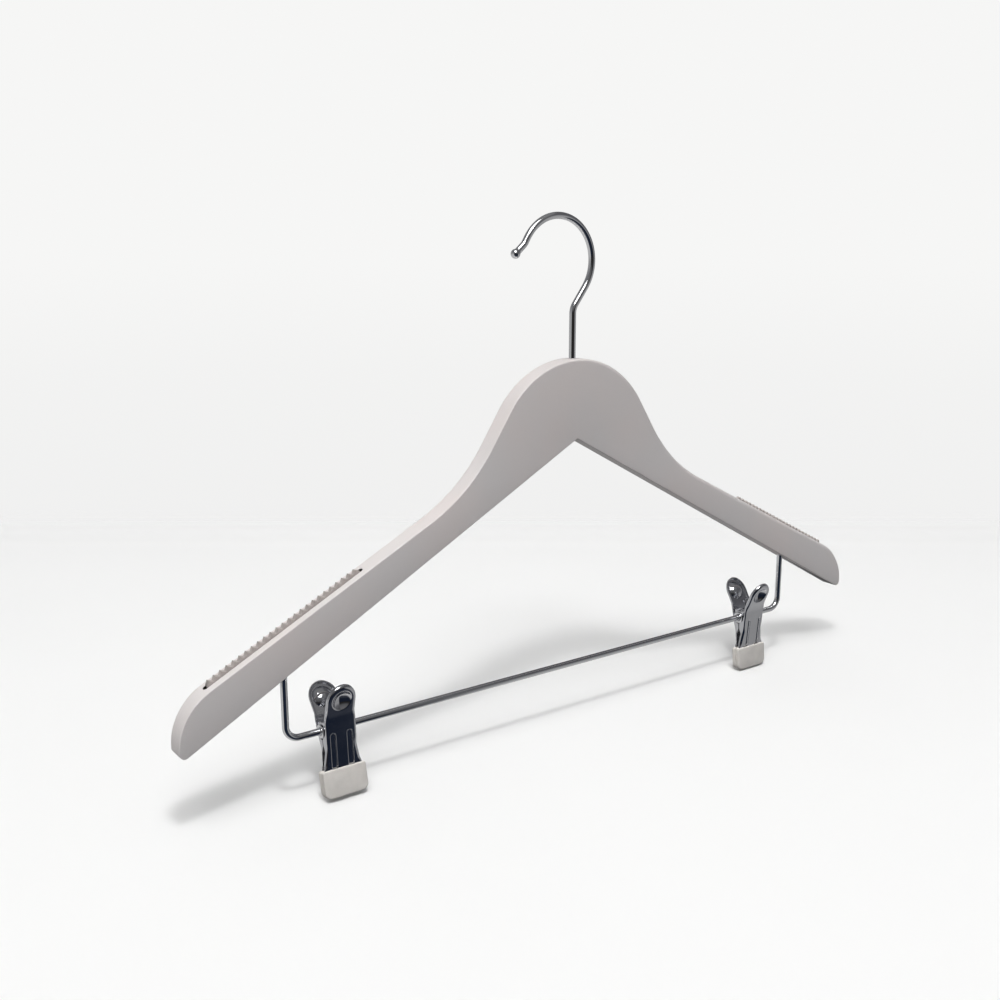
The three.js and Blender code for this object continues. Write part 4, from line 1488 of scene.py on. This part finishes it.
def studio_world():
    """A white backdrop, a soft ceiling, and a dark room behind the camera for the metal to show."""
    world = bpy.data.worlds.new("studio")
    light = StudioLight(world)
    backdrop = light.bands([
        (-0.23, (0.875, 0.875, 0.872)), (-0.12, (0.89, 0.89, 0.885)), (-0.03, (0.922, 0.922, 0.915)),
    ])
    soft = light.bands([
        (-1, (0.12, 0.118, 0.115)), (-0.4, (0.46, 0.455, 0.45)), (0.3, 0.54), (1, 0.52),
    ])
    shade = light.bands([
        (-1, 0.12), (-0.5, (0.157, 0.162, 0.174)), (0.4, (0.096, 0.101, 0.112)), (1, 0.50),
    ])
    bright = light.bands([
        (-1, 0.55), (-0.42, 0.34), (-0.15, (0.36, 0.36, 0.365)), (0.1, (0.16, 0.162, 0.17)),
        (0.45, (0.10, 0.10, 0.107)), (0.8, (0.12, 0.12, 0.125)), (1, 0.24),
    ])
    window = light.bands([
        (-1, 0.55), (-0.2, 0.52), (-0.05, 0.38), (0.2, (0.30, 0.30, 0.305)),
        (0.6, (0.16, 0.165, 0.175)), (1, 0.22),
    ])
    dark = light.bands([
        (-0.98, 0.50), (-0.88, (0.06, 0.065, 0.08)), (-0.6, (0.012, 0.017, 0.03)),
        (-0.2, (0.012, 0.017, 0.03)), (-0.08, (0.022, 0.02, 0.018)), (0.05, (0.03, 0.03, 0.032)),
        (0.25, (0.11, 0.11, 0.112)), (0.6, (0.16, 0.16, 0.165)), (0.95, 0.24),
    ])
    metal = light.mix(light.towards((0, 1, 0), -0.42, -0.2), dark, window)
    metal = light.mix(light.towards((1, 0, 0), 0.45, 0.58), metal, bright)
    gentle = light.mix(light.towards(SHADY_SIDE, -0.4, 0.1), soft, shade)
    scene_light = light.mix(light.path["Is Glossy Ray"], gentle, metal)
    light.shine(light.mix(light.path["Is Camera Ray"], scene_light, backdrop))
    bpy.context.scene.world = world


def soft_box(name, place, aim, size, energy):
    """A square light pointed at a place, that reaches far and near alike."""
    data = bpy.data.lights.new(name, "AREA")
    data.shape = "RECTANGLE"
    data.size = size
    data.size_y = size
    data.energy = energy
    data.use_nodes = True
    work = NodeWork(data.node_tree)
    even = work.add("LightFalloff", {"Strength": 1})
    work.feed(work.tree.nodes["Emission"].inputs["Strength"], even.outputs["Constant"])
    lamp = bpy.data.objects.new(name, data)
    bpy.context.scene.collection.objects.link(lamp)
    lamp.location = place
    lamp.rotation_euler = (aim - place).to_track_quat("-Z", "Y").to_euler()


class HANGER_OT_stage(bpy.types.Operator):
    """Set the floor, the studio light and the camera"""

    bl_idname = "hanger.stage"
    bl_label = "Stage"

    def execute(self, context):
        scene = context.scene
        stage = scene.hanger_stage
        mesh = bmesh.new()
        bmesh.ops.create_grid(mesh, x_segments=8, y_segments=8, size=1)
        bmesh.ops.scale(mesh, vec=(FLOOR_WIDE, FLOOR_DEEP, 1), verts=mesh.verts)
        floor = new_object("floor", mesh, Matrix.Translation((NECK_TOP.x, 0, FLOOR_Z)))
        floor.rotation_euler.z = CAMERA_TURN[2]
        if floor.data.polygons[0].normal.z < 0:
            floor.data.flip_normals()
        floor.data.materials.append(floor_finish(stage.floor))
        floor.visible_glossy = False
        floor.visible_diffuse = False
        studio_world()
        aim = Vector((NECK_TOP.x, 0, FLOOR_Z + LAMP_AIM_RISE))
        soft_box("lamp", LAMP_PLACE, aim, LAMP_SIZE, stage.lamp_power)
        far = aim + (LAMP_PLACE - aim).normalized() * PANEL_FAR
        soft_box("panel", far, aim, PANEL_SIZE, stage.panel_power)
        lens = bpy.data.cameras.new("camera")
        lens.lens = stage.lens
        lens.sensor_width = CAMERA_SENSOR
        camera = bpy.data.objects.new("camera", lens)
        scene.collection.objects.link(camera)
        camera.location = CAMERA_PLACE
        camera.rotation_euler = CAMERA_TURN
        scene.camera = camera
        scene.view_settings.view_transform = "Standard"
        return {"FINISHED"}


OPERATORS = (
    HANGER_OT_arms,
    HANGER_OT_grip_strips,
    HANGER_OT_hook,
    HANGER_OT_bar,
    HANGER_OT_jaws,
    HANGER_OT_boots,
    HANGER_OT_sleeves,
    HANGER_OT_springs,
    HANGER_OT_stage,
)

SETTINGS = {
    "hanger_arms": ArmSettings,
    "hanger_grips": GripSettings,
    "hanger_wires": WireSettings,
    "hanger_clips": ClipSettings,
    "hanger_stage": StageSettings,
}


class HANGER_PT_panel(bpy.types.Panel):
    """Lists the hanger's pieces in the sidebar"""

    bl_idname = "HANGER_PT_panel"
    bl_label = "Clip hanger"
    bl_space_type = "VIEW_3D"
    bl_region_type = "UI"
    bl_category = "Hanger"

    def draw(self, context):
        for operator in OPERATORS:
            self.layout.operator(operator.bl_idname)
        for name in SETTINGS:
            box = self.layout.box()
            group = getattr(context.scene, name)
            for setting in group.bl_rna.properties.keys():
                if setting not in ("rna_type", "name"):
                    box.prop(group, setting)


def register():
    for kind in (*SETTINGS.values(), *OPERATORS, HANGER_PT_panel):
        bpy.utils.register_class(kind)
    for name, kind in SETTINGS.items():
        setattr(bpy.types.Scene, name, PointerProperty(type=kind))


def unregister():
    for name in SETTINGS:
        delattr(bpy.types.Scene, name)
    for kind in reversed((*SETTINGS.values(), *OPERATORS, HANGER_PT_panel)):
        bpy.utils.unregister_class(kind)


def main():
    register()
    bpy.ops.hanger.arms()
    bpy.ops.hanger.grip_strips()
    bpy.ops.hanger.hook()
    bpy.ops.hanger.bar()
    bpy.ops.hanger.jaws()
    bpy.ops.hanger.boots()
    bpy.ops.hanger.sleeves()
    bpy.ops.hanger.springs()
    bpy.ops.hanger.stage()


if __name__ == "__main__":
    main()
